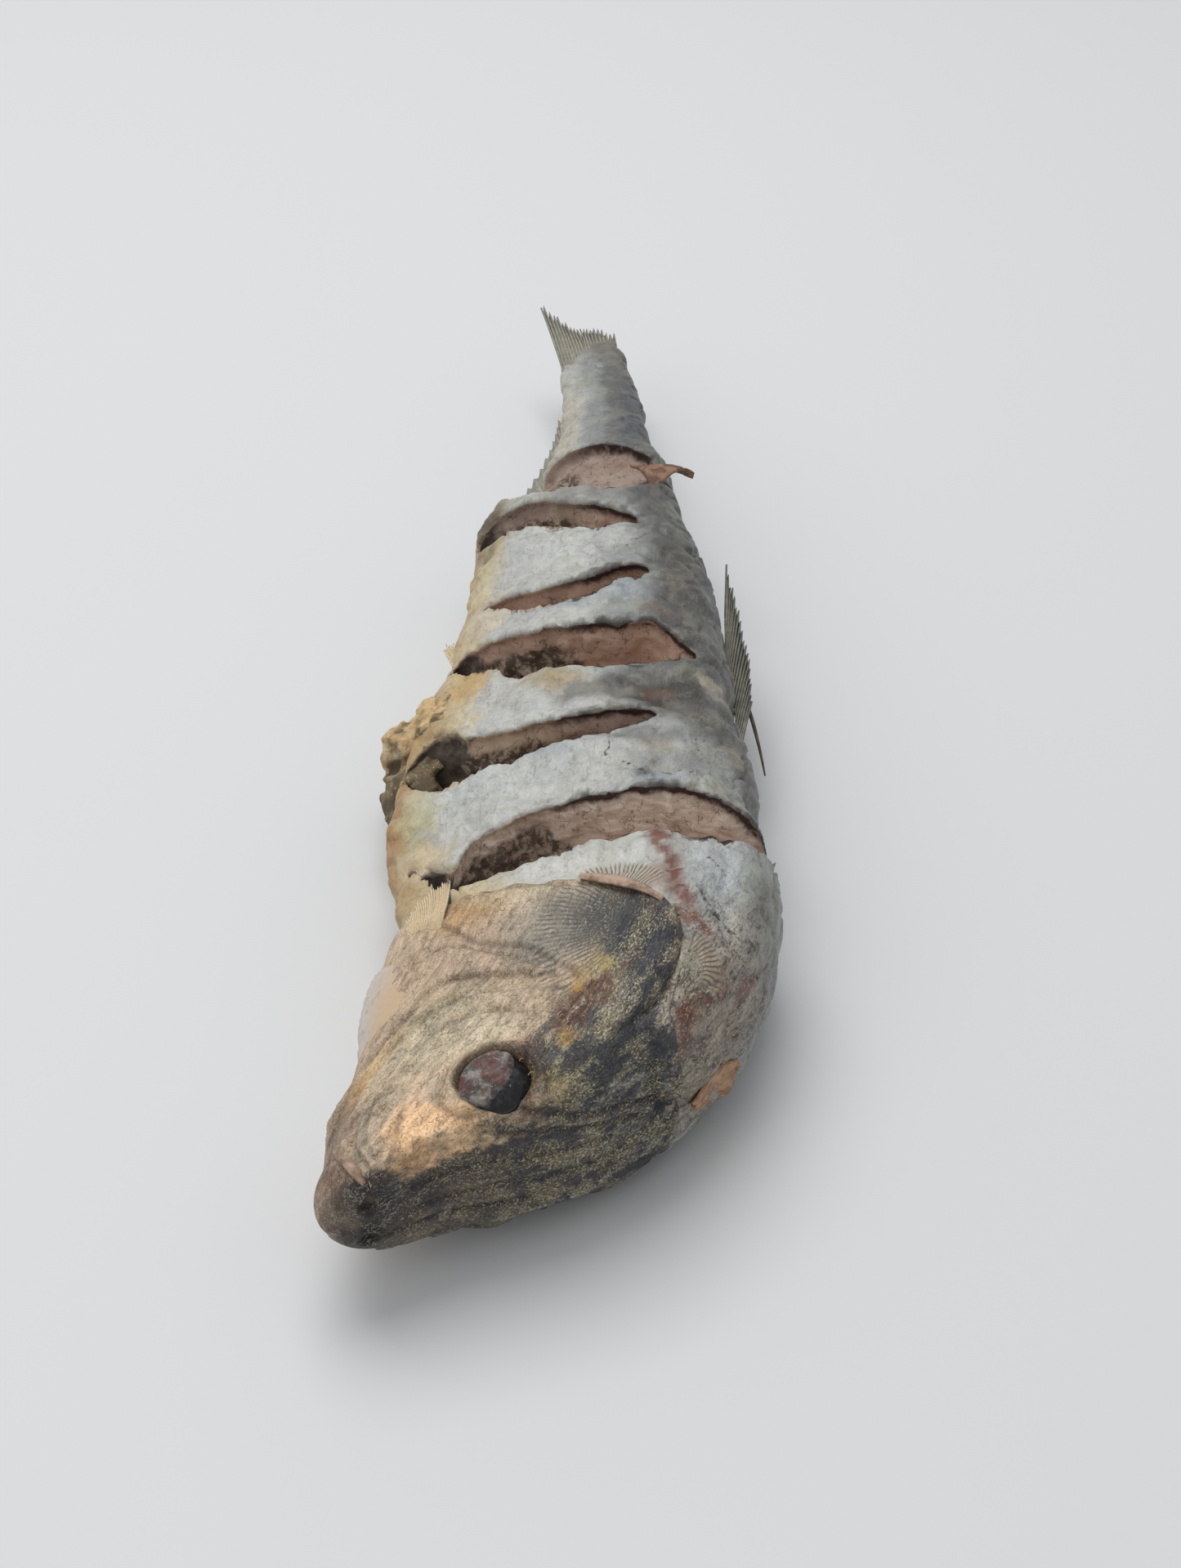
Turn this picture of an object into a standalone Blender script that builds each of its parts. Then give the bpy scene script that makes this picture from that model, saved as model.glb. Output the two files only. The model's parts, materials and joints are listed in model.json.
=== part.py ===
"""Freeze-dried sardine, whole and of one piece, lying on its left flank.

Metres, +Z up. The head points to -Y, the back to +X and the belly to -X, and the right flank is up.
The origin is under the middle of the fish, on the surface that it lies on.
"""

import math

import bmesh
import bpy
import numpy as np
from mathutils import Matrix, Vector, noise

# Driving dimensions, in millimetres, with angles in degrees
MM = 0.001
LENGTH = 169.0           # from the snout to the end of the tail stem's skin, along the backbone
SNOUT = (-22.5, -79.8)   # the snout's place in plan
HEAD_TURN = 34.0         # how far the head is bent down towards the belly
HEAD_TURN_ENDS = (20.0, 52.0)
TRUNK_TURN = 2.5
TAIL_TURN = -9.0         # the tail bends back towards the belly
TAIL_TURN_ENDS = (138.0, 160.0)
MID_HEIGHT = 10.5        # the backbone's height above the resting surface

# The fish's own measures: place along the backbone, then reach to the back and to the belly,
# rise above and depth below the mid-plane, and how square the back and how sharp the belly is
STATIONS = (
    (0.0, 0.5, 0.3, 0.6, 0.6, 2.0, 2.0),
    (1.2, 2.5, 1.9, 3.3, 3.1, 2.2, 2.0),
    (4.0, 4.4, 3.4, 5.2, 4.9, 2.8, 2.0),
    (9.0, 6.6, 6.1, 6.6, 6.4, 3.4, 1.9),
    (15.5, 11.0, 8.7, 8.0, 7.8, 3.8, 1.8),
    (22.0, 14.2, 11.7, 9.3, 8.8, 3.4, 1.8),
    (29.0, 17.6, 14.1, 10.2, 9.6, 2.9, 1.8),
    (36.0, 19.8, 14.6, 10.6, 10.4, 2.6, 1.7),
    (46.0, 21.0, 16.8, 10.4, 11.3, 2.5, 1.5),
    (58.0, 19.8, 18.4, 10.2, 11.4, 2.4, 1.5),
    (72.0, 17.8, 17.6, 10.0, 11.4, 2.3, 1.6),
    (86.0, 16.2, 15.0, 10.0, 11.4, 2.3, 1.7),
    (98.0, 14.8, 14.0, 9.7, 11.2, 2.3, 1.7),
    (109.0, 12.4, 14.0, 9.1, 10.0, 2.3, 1.8),
    (119.0, 10.4, 13.2, 8.4, 8.2, 2.2, 1.8),
    (128.0, 8.9, 7.6, 7.0, 6.6, 2.2, 1.9),
    (137.0, 6.2, 5.8, 5.0, 5.0, 2.1, 2.0),
    (150.0, 5.2, 5.2, 3.6, 3.6, 2.0, 2.0),
    (162.0, 4.5, 4.4, 2.3, 2.3, 2.0, 2.0),
    (LENGTH, 3.8, 3.6, 1.1, 1.1, 2.0, 2.0),
)
THICKEST = 0.30          # the flank is thickest this far from the middle towards the back
SAGGED_BELLY = 2.6       # the underside of the belly has sagged to at least this squareness
RING_POINTS = 34
HEAD_STEP, TRUNK_STEP = 2.0, 3.4


def eased(value, start, end):
    """0 before start, 1 after end, and smooth between."""
    t = min(max((value - start) / (end - start), 0.0), 1.0)
    return t * t * (3.0 - 2.0 * t)


def backbone_turn(place):
    """Heading of the backbone at a place along it, in radians from +Y towards +X."""
    head = HEAD_TURN * (1.0 - eased(place, *HEAD_TURN_ENDS))
    trunk = TRUNK_TURN * eased(place, HEAD_TURN_ENDS[1], HEAD_TURN_ENDS[1] + 10.0)
    tail = TAIL_TURN * eased(place, *TAIL_TURN_ENDS)
    return math.radians(head + trunk + tail)


def backbone_points(step=0.25):
    """Plan positions along the backbone, every step from the snout to beyond the tail."""
    points = [SNOUT]
    for i in range(int((LENGTH + 20.0) / step)):
        turn = backbone_turn(i * step)
        x, y = points[-1]
        points.append((x + math.sin(turn) * step, y + math.cos(turn) * step))
    return np.array(points), step


BACKBONE, BACKBONE_STEP = backbone_points()


def in_plan(place, reach):
    """Plan position at a place along the fish and a reach to the back (+) or belly (-)."""
    along = place / BACKBONE_STEP
    x = np.interp(along, range(len(BACKBONE)), BACKBONE[:, 0])
    y = np.interp(along, range(len(BACKBONE)), BACKBONE[:, 1])
    turn = backbone_turn(place)
    return x + math.cos(turn) * reach, y - math.sin(turn) * reach


def station(place):
    """The fish's measures at a place, on a smooth curve through the stations."""
    places = [row[0] for row in STATIONS]
    i = min(max(int(np.searchsorted(places, place)) - 1, 0), len(places) - 2)
    rows = [np.array(STATIONS[min(max(i + k, 0), len(places) - 1)]) for k in (-1, 0, 1, 2)]
    span = rows[2][0] - rows[1][0]
    slopes = []
    for before, here, after in (rows[:3], rows[1:]):
        gap = after[0] - before[0]
        slopes.append((after - before) / gap if gap > 0 else 0.0 * here)
    t = (place - rows[1][0]) / span
    return (
        (2 * t**3 - 3 * t**2 + 1) * rows[1] + (t**3 - 2 * t**2 + t) * span * slopes[0]
        + (-2 * t**3 + 3 * t**2) * rows[2] + (t**3 - t**2) * span * slopes[1]
    )[1:]


def section(place, angle):
    """Reach and height of the skin: angle 0 is the back's edge, 90 the upper flank, 180 the belly's edge."""
    back, belly, rise, depth, back_power, belly_power = station(place)
    across, up = math.cos(angle), math.sin(angle)
    if up < 0:
        belly_power = max(belly_power, SAGGED_BELLY)
    power = 2.0 / (back_power if across > 0 else belly_power)
    across = math.copysign(abs(across) ** power, across)
    up = math.copysign(abs(up) ** power, up)
    across += THICKEST * (1.0 - across * across)
    reach = (back - belly) / 2.0 + (back + belly) / 2.0 * across
    return reach, MID_HEIGHT + (rise if up > 0 else depth) * up


def section_point(place, angle):
    reach, height = section(place, angle)
    return Vector((*in_plan(place, reach), height))


def flank_height(place, reach, side):
    """Height of the upper flank (side 1) or of the underside (side -1) at a place and reach."""
    near_back, near_belly = 0.0, math.pi
    for _ in range(20):
        angle = (near_back + near_belly) / 2.0
        if section(place, side * angle)[0] > reach:
            near_back = angle
        else:
            near_belly = angle
    return section(place, side * near_back)[1]


# Relief of the skin: the gill covers, the bony brow and the wrinkles of drying
GILL_RIM = 39.0          # place of the gill cover's rearmost edge
GILL_RIM_ROUND = 0.035   # how fast that edge curves forward, per square millimetre
GILL_RIM_REACH = 0.5
GILL_STEP = 1.0          # how far the cover stands off the shoulder behind it
GILL_TOP = (12.0, 16.0)  # the cover ends between these reaches, below the skull
CHEEK_LENGTH = 15.0
WRINKLE, WRINKLE_SIZE = 0.45, 5.0
FINE_WRINKLE, FINE_WRINKLE_SIZE = 0.22, 2.2
SMOOTH_SNOUT = (2.0, 14.0)   # the wrinkles come in between these places
NUDGE, NUDGE_TURN = 0.2, 0.02   # steps along and around the skin that measure its slope


def relief(place, reach, point):
    """How far the skin stands out at a point, in millimetres."""
    rim = GILL_RIM - GILL_RIM_ROUND * (reach - GILL_RIM_REACH) ** 2
    cover = eased(place, rim - CHEEK_LENGTH, rim - 1.0) * (1.0 - eased(place, rim - 0.4, rim + 0.8))
    cover *= 1.0 - eased(reach, *GILL_TOP)
    wrinkles = WRINKLE * noise.noise(Vector(point) / WRINKLE_SIZE)
    wrinkles += FINE_WRINKLE * noise.noise(Vector(point) / FINE_WRINKLE_SIZE)
    return GILL_STEP * cover + wrinkles * eased(place, *SMOOTH_SNOUT)


def skin_point(place, angle):
    """A point of the finished skin, in millimetres, with its relief and the flat it rests on."""
    point = section_point(place, angle)
    around = section_point(place, angle + NUDGE_TURN) - section_point(place, angle - NUDGE_TURN)
    ahead, behind = min(place + NUDGE, LENGTH), max(place - NUDGE, 0.0)
    outward = around.cross(section_point(ahead, angle) - section_point(behind, angle))
    if outward.length > 0:
        outward.normalize()
    point += outward * relief(place, section(place, angle)[0], point)
    point.z = max(point.z, 0.0)
    return point


# Slashes across the upper flank, from the belly to the back: reach, the places of the edge near
# the head and of the edge near the tail, and the height that the slash goes down to.
# The torn patch has the depth below the skin instead of that height.
SLASHES = (
    ("slash_behind_head", (
        (-19.0, 49.6, 51.5, 9.5), (-14.6, 44.6, 51.3, 7.5), (-10.5, 40.8, 50.2, 5.5),
        (-7.0, 42.3, 51.7, 5.0), (-3.0, 44.2, 52.4, 5.0), (3.0, 46.0, 52.3, 5.0),
        (9.0, 46.8, 53.2, 5.0), (12.5, 46.8, 53.0, 5.5), (17.0, 46.6, 51.5, 6.0),
        (23.0, 47.4, 50.8, 7.0),
    )),
    ("slash_two", (
        (-15.5, 60.5, 70.5, 7.5), (-11.0, 60.2, 68.5, 5.5), (-6.8, 62.3, 67.9, 6.0),
        (-2.4, 63.2, 67.3, 7.0), (1.3, 62.9, 66.3, 8.0), (4.5, 63.8, 66.6, 9.0),
        (7.5, 65.0, 66.9, 12.0), (9.8, 66.0, 66.6, 17.0),
    )),
    ("slash_three", (
        (-14.5, 82.0, 85.5, 11.0), (-12.5, 79.8, 86.6, 7.0), (-9.7, 78.6, 85.4, 5.0),
        (-7.0, 76.4, 84.8, 5.0), (-4.5, 76.7, 84.3, 5.5), (-1.3, 76.0, 83.8, 6.0),
        (3.7, 75.3, 82.6, 7.0), (7.5, 75.9, 83.6, 9.0), (10.5, 77.0, 80.5, 13.0),
        (12.5, 78.0, 78.8, 17.0),
    )),
    ("slash_four", (
        (-12.2, 94.2, 95.0, 12.5), (-10.8, 92.6, 95.2, 9.0), (-5.0, 89.9, 93.2, 7.0),
        (0.4, 90.0, 93.0, 8.0), (5.7, 92.8, 95.2, 12.0), (7.8, 94.4, 95.0, 17.0),
    )),
    ("slash_five", (
        (-17.0, 105.5, 115.5, 6.0), (-12.7, 106.0, 115.4, 6.5), (-10.0, 108.4, 115.2, 7.0),
        (-6.1, 107.5, 113.9, 8.0), (-2.1, 105.4, 111.0, 9.5), (1.6, 104.6, 108.7, 11.5),
        (5.0, 105.0, 106.8, 15.0), (7.0, 105.4, 105.9, 18.0),
    )),
)
TORN_PATCH = (
    (-11.0, 118.6, 126.0, 0.8), (-9.0, 117.4, 129.0, 2.2), (-5.6, 116.2, 130.0, 3.2),
    (-0.7, 114.6, 129.5, 3.6), (4.2, 113.8, 126.5, 3.2), (7.2, 116.0, 124.5, 1.6),
)
SLASH_FLOOR, TORN_FLOOR = 0.12, 0.7    # width of the bottom, as a share of the mouth's
NEAR_WALL, FAR_WALL = 0.62, 0.45       # heights, in shares of the cut, at which its walls turn steep
THINNEST_SLASH = 0.3
KEEL = 2.5                             # flesh left under a slash
SLASH_TOP = 26.0                       # the cutters reach above the flank
SLASH_STEP = 2.0
RAGGED, RAGGED_SIZE = 0.55, 2.4        # how far a cut edge wanders, and over what length

# The belly's hollow, opened by the first slashes: place, reach and height, and half sizes
BELLY_HOLLOW, HOLLOW_SIZE = (59.0, -8.0, 10.4), (15.0, 5.0, 3.2)
HOLLOW_CRUMBLE = 0.12

# Crumbs of the burst belly: place, reach, height and radius
BURST_BELLY = (
    (80.6, -16.6, 10.6, 3.2), (76.6, -17.6, 9.2, 3.6), (78.5, -15.0, 12.4, 2.6),
    (72.4, -15.0, 7.0, 3.2), (67.8, -16.4, 7.6, 3.6), (63.6, -16.4, 8.8, 3.2),
    (66.5, -14.6, 11.0, 2.6), (59.2, -16.7, 7.8, 2.8), (54.4, -16.6, 7.6, 2.6),
    (50.2, -15.6, 7.6, 2.4), (84.6, -13.8, 10.8, 2.0),
)

CRUMBLE, CRUMBLE_SIZE = 0.4, 0.6       # how uneven a crumb is, and over what share of it
CRUMB_SHAPE, CRUMB_TURN = (1.2, 0.9, 0.85), 50.0

# Eyes: place, reach and how far the socket's and the ball's middles lie from the mid-plane
EYE_PLACE, EYE_REACH = 15.2, 7.1
SOCKET_HEIGHT, SOCKET_SIZE = 8.4, (4.5, 3.7, 2.4)
BALL_HEIGHT, BALL_SIZE = 5.0, (3.9, 3.2, 3.0)
EYE_TURN = 62.0                        # the sockets' long axis, in degrees from the backbone
NOSTRIL = (2.9, 3.5, 2.3, 0.75)        # place, reach, height off the mid-plane and radius
MOUTH = ((-1.0, 0.7), (8.2, -4.0))     # the gape's ends, as place and reach
MOUTH_GAP, MOUTH_FLOOR = 0.6, 1.8      # its width, and where it ends above or below the mid-plane

# Fins and scraps, as outlines of place and reach, with a height and a thickness
MEDIAN_FINS = (
    ("tail_fin", 0.5, 1.3, (
        (150.0, -3.0), (162.0, -4.4), (170.0, -5.2), (174.5, -6.8), (177.4, -6.4), (175.2, -3.8),
        (172.2, -1.4), (170.8, 0.2), (171.8, 2.4), (169.6, 4.1), (162.0, 4.4), (150.0, 3.0),
    )),
    ("back_fin", 0.0, 1.0, (
        (72.0, 15.0), (74.0, 17.6), (80.0, 18.0), (88.0, 17.6), (98.0, 16.6), (108.5, 14.9),
        (107.5, 14.1), (99.0, 15.2), (92.0, 13.6), (80.0, 13.6),
    )),
    ("anal_fin", -0.6, 1.0, (
        (119.0, -9.0), (123.0, -12.4), (129.0, -9.6), (139.0, -7.0), (145.0, -6.2), (144.0, -3.0),
        (130.0, -4.0),
    )),
    ("belly_fin", -3.2, 1.1, (
        (87.0, -10.0), (88.0, -15.6), (96.0, -15.8), (99.5, -14.6), (97.0, -12.4), (93.0, -10.0),
    )),
    ("torn_flap", 4.4, 1.2, (
        (115.0, 5.0), (121.0, 6.0), (119.5, 14.4), (117.6, 10.4),
    )),
)
PECTORAL_ROOT = (32.6, -11.2, 13.9)    # place, reach and height of the fin's root
PECTORAL_LENGTH, PECTORAL_WIDTH, PECTORAL_THICKNESS = 9.6, 5.6, 1.0
PECTORAL_ROLL = -32.0                  # it lies on the flank's slope down to the belly
PECTORAL_HEADING = 2.0                 # in degrees from +Y


def clear_scene():
    for obj in list(bpy.data.objects):
        bpy.data.objects.remove(obj, do_unlink=True)


def new_collection(name):
    collection = bpy.data.collections.new(name)
    bpy.context.scene.collection.children.link(collection)
    return collection


def object_of(name, mesh, collection):
    """A new object that takes over a bmesh."""
    bmesh.ops.recalc_face_normals(mesh, faces=mesh.faces)
    data = bpy.data.meshes.new(name)
    mesh.to_mesh(data)
    mesh.free()
    obj = bpy.data.objects.new(name, data)
    collection.objects.link(obj)
    return obj


def loft(name, rings, collection):
    """A closed object through rings of equally many points, in millimetres, with flat ends."""
    mesh = bmesh.new()
    loops = [[mesh.verts.new(Vector(point) * MM) for point in ring] for ring in rings]
    for first, second in zip(loops, loops[1:]):
        for i in range(len(first)):
            j = (i + 1) % len(first)
            mesh.faces.new((first[i], first[j], second[j], second[i]))
    mesh.faces.new(reversed(loops[0]))
    mesh.faces.new(loops[-1])
    return object_of(name, mesh, collection)


def ring_places():
    """Places of the skin's rings, close together on the head."""
    places, place = [0.0, 0.3, 0.7, 1.3, 2.2], 3.4
    while place < LENGTH - 1.0:
        places.append(place)
        place += HEAD_STEP if place < HEAD_TURN_ENDS[1] else TRUNK_STEP
    return places + [LENGTH]


def build_skin(collection):
    """The whole fish before it is slashed."""
    angles = [2.0 * math.pi * i / RING_POINTS for i in range(RING_POINTS)]
    rings = [[skin_point(place, angle) for angle in angles] for place in ring_places()]
    return loft("sardine", rings, collection)


def ragged(reach, place, layer):
    """How far a cut edge wanders at a point."""
    return RAGGED * noise.noise(Vector((reach, place, layer)) / RAGGED_SIZE)


def cut_rows(rows):
    """The rows of a cut every few millimetres from the belly to the back, with ragged edges."""
    reaches = [row[0] for row in rows]
    count = int((reaches[-1] - reaches[0]) / SLASH_STEP) + 1
    for reach in np.linspace(reaches[0], reaches[-1], count):
        near, far, bottom = (np.interp(reach, reaches, [row[k] for row in rows]) for k in (1, 2, 3))
        near += ragged(reach, near, 0.0)
        far = max(far + ragged(reach, far, 9.0), near + THINNEST_SLASH)
        yield reach, near, far, bottom + ragged(reach, near, 30.0)


def build_slash(name, rows, collection):
    """A wedge that opens the flank between two edges, leaning towards the tail as it goes down."""
    rings = []
    for reach, near, far, bottom in cut_rows(rows):
        bottom = max(bottom, flank_height(far, reach, -1.0) + KEEL)
        middle, half = (near + 2.0 * far) / 3.0, (far - near) / 2.0 * SLASH_FLOOR
        corners = (
            (near, SLASH_TOP), (near, bottom + NEAR_WALL * (SLASH_TOP - bottom)),
            (middle - half, bottom), (middle + half, bottom),
            (far, bottom + FAR_WALL * (SLASH_TOP - bottom)), (far, SLASH_TOP),
        )
        rings.append([(*in_plan(place, reach), height) for place, height in corners])
    return loft(name, rings, collection)


def build_torn_patch(collection):
    """A shallow bed where the skin and a layer of flesh have come away."""
    rings = []
    for reach, near, far, depth in cut_rows(TORN_PATCH):
        middle, half = (near + far) / 2.0, (far - near) / 2.0 * TORN_FLOOR
        corners = [(near, SLASH_TOP), (near, flank_height(near, reach, 1.0) - depth / 3.0)]
        for place in (middle - half, middle + half):
            corners.append((place, flank_height(place, reach, 1.0) - depth))
        corners += [(far, flank_height(far, reach, 1.0) - depth / 3.0), (far, SLASH_TOP)]
        rings.append([(*in_plan(place, reach), height) for place, height in corners])
    return loft("torn_patch", rings, collection)


def build_ball(name, place, reach, height, radii, turn, collection, crumble=0.0):
    """An ellipsoid, turned in plan from the backbone, with an optional crumbled surface."""
    mesh = bmesh.new()
    fineness = 3 if crumble == 0.0 and radii[0] > 1.0 else 2
    bmesh.ops.create_icosphere(mesh, subdivisions=fineness, radius=1.0)
    heading = math.radians(90.0 - turn) - backbone_turn(place)
    x, y = in_plan(place, reach)
    for vert in mesh.verts:
        point = Vector((vert.co.x * radii[0], vert.co.y * radii[1], vert.co.z * radii[2]))
        point *= 1.0 + crumble * noise.noise(vert.co / CRUMBLE_SIZE + Vector((place, reach, 0.0)))
        along, across = point.x, point.y
        point.x = x + along * math.cos(heading) - across * math.sin(heading)
        point.y = y + along * math.sin(heading) + across * math.cos(heading)
        point.z += height
        vert.co = point * MM
    return object_of(name, mesh, collection)


def flat_piece(name, outline, thickness, collection):
    """A thin plate of an outline in metres, made from a filled curve."""
    curve = bpy.data.curves.new(name, "CURVE")
    curve.dimensions = "2D"
    curve.fill_mode = "BOTH"
    curve.extrude = thickness * MM / 2.0
    spline = curve.splines.new("POLY")
    spline.points.add(len(outline) - 1)
    for point, (x, y) in zip(spline.points, outline):
        point.co = (x, y, 0.0, 1.0)
    spline.use_cyclic_u = True
    source = bpy.data.objects.new(name + "_outline", curve)
    collection.objects.link(source)
    bpy.context.view_layer.update()
    depsgraph = bpy.context.evaluated_depsgraph_get()
    data = bpy.data.meshes.new_from_object(source.evaluated_get(depsgraph))
    bpy.data.objects.remove(source, do_unlink=True)
    mesh = bmesh.new()
    mesh.from_mesh(data)
    bpy.data.meshes.remove(data)
    bmesh.ops.remove_doubles(mesh, verts=mesh.verts, dist=0.01 * MM)
    return object_of(name, mesh, collection)


def build_fins(collection):
    for name, height, thickness, outline in MEDIAN_FINS:
        plan = [[part * MM for part in in_plan(place, reach)] for place, reach in outline]
        fin = flat_piece(name, plan, thickness, collection)
        fin.location.z = (MID_HEIGHT + height) * MM


def build_pectoral(collection):
    """The stub of the pectoral fin, a frayed fan that lies back along the flank."""
    rays = 9
    outline = [(-1.4 * MM, 0.0)]
    for i in range(rays):
        spread = PECTORAL_WIDTH * (i / (rays - 1) - 0.5)
        fray = 1.0 - 0.16 * (i % 2) - 0.02 * (i - rays // 2) ** 2
        outline.append((spread * MM, PECTORAL_LENGTH * fray * MM))
    outline.append((1.4 * MM, 0.0))
    fin = flat_piece("pectoral_fin", outline, PECTORAL_THICKNESS, collection)
    place, reach, height = PECTORAL_ROOT
    x, y = in_plan(place, reach)
    fin.location = (x * MM, y * MM, height * MM)
    fin.rotation_euler = (0.0, math.radians(PECTORAL_ROLL), -math.radians(PECTORAL_HEADING))


def build_gape(name, side, collection):
    """One side's slit between the jaws, an upright box in plan along the gape."""
    (x0, y0), (x1, y1) = (in_plan(*end) for end in MOUTH)
    bpy.ops.mesh.primitive_cube_add(size=1.0)
    gape = bpy.context.active_object
    gape.name = name
    height = MID_HEIGHT + side * (MOUTH_FLOOR + MID_HEIGHT / 2.0)
    gape.location = ((x0 + x1) / 2.0 * MM, (y0 + y1) / 2.0 * MM, height * MM)
    gape.rotation_euler.z = math.atan2(y1 - y0, x1 - x0)
    gape.scale = (math.hypot(x1 - x0, y1 - y0) * MM, MOUTH_GAP * MM, MID_HEIGHT * MM)
    for owner in list(gape.users_collection):
        owner.objects.unlink(gape)
    collection.objects.link(gape)


def build_head_cutters(collection):
    """Eye sockets, nostrils and the gape, the same on both sides of the head."""
    for side, name in ((1.0, "right"), (-1.0, "left")):
        height = MID_HEIGHT + side * SOCKET_HEIGHT
        build_ball(
            "socket_" + name, EYE_PLACE, EYE_REACH, height, SOCKET_SIZE, EYE_TURN, collection
        )
        place, reach, off, radius = NOSTRIL
        build_ball(
            "nostril_" + name, place, reach, MID_HEIGHT + side * off, (radius,) * 3, 0.0, collection
        )
        build_gape("gape_" + name, side, collection)


def apply_boolean(body, operation, collection):
    """Cuts or fuses a whole collection, then removes its objects."""
    modifier = body.modifiers.new(operation.title(), "BOOLEAN")
    modifier.operation = operation
    modifier.operand_type = "COLLECTION"
    modifier.collection = collection
    modifier.solver = "EXACT"
    bpy.context.view_layer.update()
    depsgraph = bpy.context.evaluated_depsgraph_get()
    data = bpy.data.meshes.new_from_object(body.evaluated_get(depsgraph))
    body.modifiers.clear()
    body.data = data
    for obj in list(collection.objects):
        bpy.data.objects.remove(obj, do_unlink=True)
    bpy.data.collections.remove(collection)


def rest_on_origin(body):
    """Moves the mesh so that the origin is under the middle of its box."""
    points = np.array([vert.co for vert in body.data.vertices])
    low, high = points.min(axis=0), points.max(axis=0)
    middle = (low + high) / 2.0
    body.data.transform(Matrix.Translation((-middle[0], -middle[1], -low[2])))


def dried_fish_material():
    material = bpy.data.materials.new("dried_skin")
    material.use_nodes = True
    shader = material.node_tree.nodes["Principled BSDF"]
    shader.inputs["Base Color"].default_value = (0.36, 0.35, 0.31, 1.0)
    shader.inputs["Roughness"].default_value = 0.62
    shader.inputs["Metallic"].default_value = 0.0
    return material


clear_scene()
fish = new_collection("freeze_dried_sardine")
cutters = new_collection("cutters")
fused = new_collection("fused_pieces")

body = build_skin(fish)
for name, rows in SLASHES:
    build_slash(name, rows, cutters)
build_torn_patch(cutters)
build_ball("belly_hollow", *BELLY_HOLLOW, HOLLOW_SIZE, 0.0, cutters, HOLLOW_CRUMBLE)
build_head_cutters(cutters)
apply_boolean(body, "DIFFERENCE", cutters)

for side, name in ((1.0, "right"), (-1.0, "left")):
    height = MID_HEIGHT + side * BALL_HEIGHT
    build_ball("eye_" + name, EYE_PLACE, EYE_REACH, height, BALL_SIZE, EYE_TURN, fused)
for i, (place, reach, height, radius) in enumerate(BURST_BELLY):
    radii = [radius * share for share in CRUMB_SHAPE]
    build_ball(f"crumb_{i}", place, reach, height, radii, i * CRUMB_TURN, fused, CRUMBLE)
build_fins(fused)
build_pectoral(fused)
apply_boolean(body, "UNION", fused)

rest_on_origin(body)
body.data.materials.clear()
body.data.materials.append(dried_fish_material())
body.data.shade_smooth()
body.data.set_sharp_from_angle(angle=math.radians(50.0))
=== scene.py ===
"""Freeze-dried sardine on a pale floor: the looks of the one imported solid.

Fish measures are millimetres: place along the backbone from the snout, reach towards the back (+) or the
belly (-), and height above the floor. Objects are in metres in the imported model's frame.
"""
import json
import math

import bmesh
import bpy
import numpy as np
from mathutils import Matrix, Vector
from mathutils.bvhtree import BVHTree

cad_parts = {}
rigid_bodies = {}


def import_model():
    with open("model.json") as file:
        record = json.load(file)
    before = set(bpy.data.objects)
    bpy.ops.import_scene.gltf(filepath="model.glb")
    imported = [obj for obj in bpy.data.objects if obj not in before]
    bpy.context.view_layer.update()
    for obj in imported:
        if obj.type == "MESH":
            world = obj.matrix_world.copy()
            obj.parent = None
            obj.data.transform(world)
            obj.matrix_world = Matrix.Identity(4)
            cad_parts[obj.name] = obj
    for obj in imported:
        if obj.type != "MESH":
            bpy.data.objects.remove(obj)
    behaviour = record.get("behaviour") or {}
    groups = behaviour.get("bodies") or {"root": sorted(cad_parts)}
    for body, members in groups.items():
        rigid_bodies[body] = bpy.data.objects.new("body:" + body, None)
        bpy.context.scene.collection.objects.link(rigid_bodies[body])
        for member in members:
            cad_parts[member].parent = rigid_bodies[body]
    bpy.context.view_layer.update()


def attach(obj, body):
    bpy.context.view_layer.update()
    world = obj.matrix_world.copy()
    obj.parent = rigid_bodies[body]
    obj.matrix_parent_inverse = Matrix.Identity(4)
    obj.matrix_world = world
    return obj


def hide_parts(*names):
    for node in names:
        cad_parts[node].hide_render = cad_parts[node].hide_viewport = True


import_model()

# The trunk and tail stem: flesh under silver skin, freeze-dried whole. Five slashes cut across the
# upper flank have opened in drying, the belly has burst between the first ones, and a patch of skin
# has torn off before the tail. The front end is tucked under the gill covers and the nape.
MM = 0.001
LENGTH = 169.0
SNOUT = (-22.5, -79.8)
MIDDLE_IN_PLAN = (-2.292, 5.468)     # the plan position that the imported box's middle has
HEAD_TURN, HEAD_TURN_ENDS = 34.0, (20.0, 52.0)
TRUNK_TURN, TRUNK_TURN_ENDS = 2.5, (52.0, 62.0)
TAIL_TURN, TAIL_TURN_ENDS = -9.0, (138.0, 160.0)
MID_HEIGHT = 10.5
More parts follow.
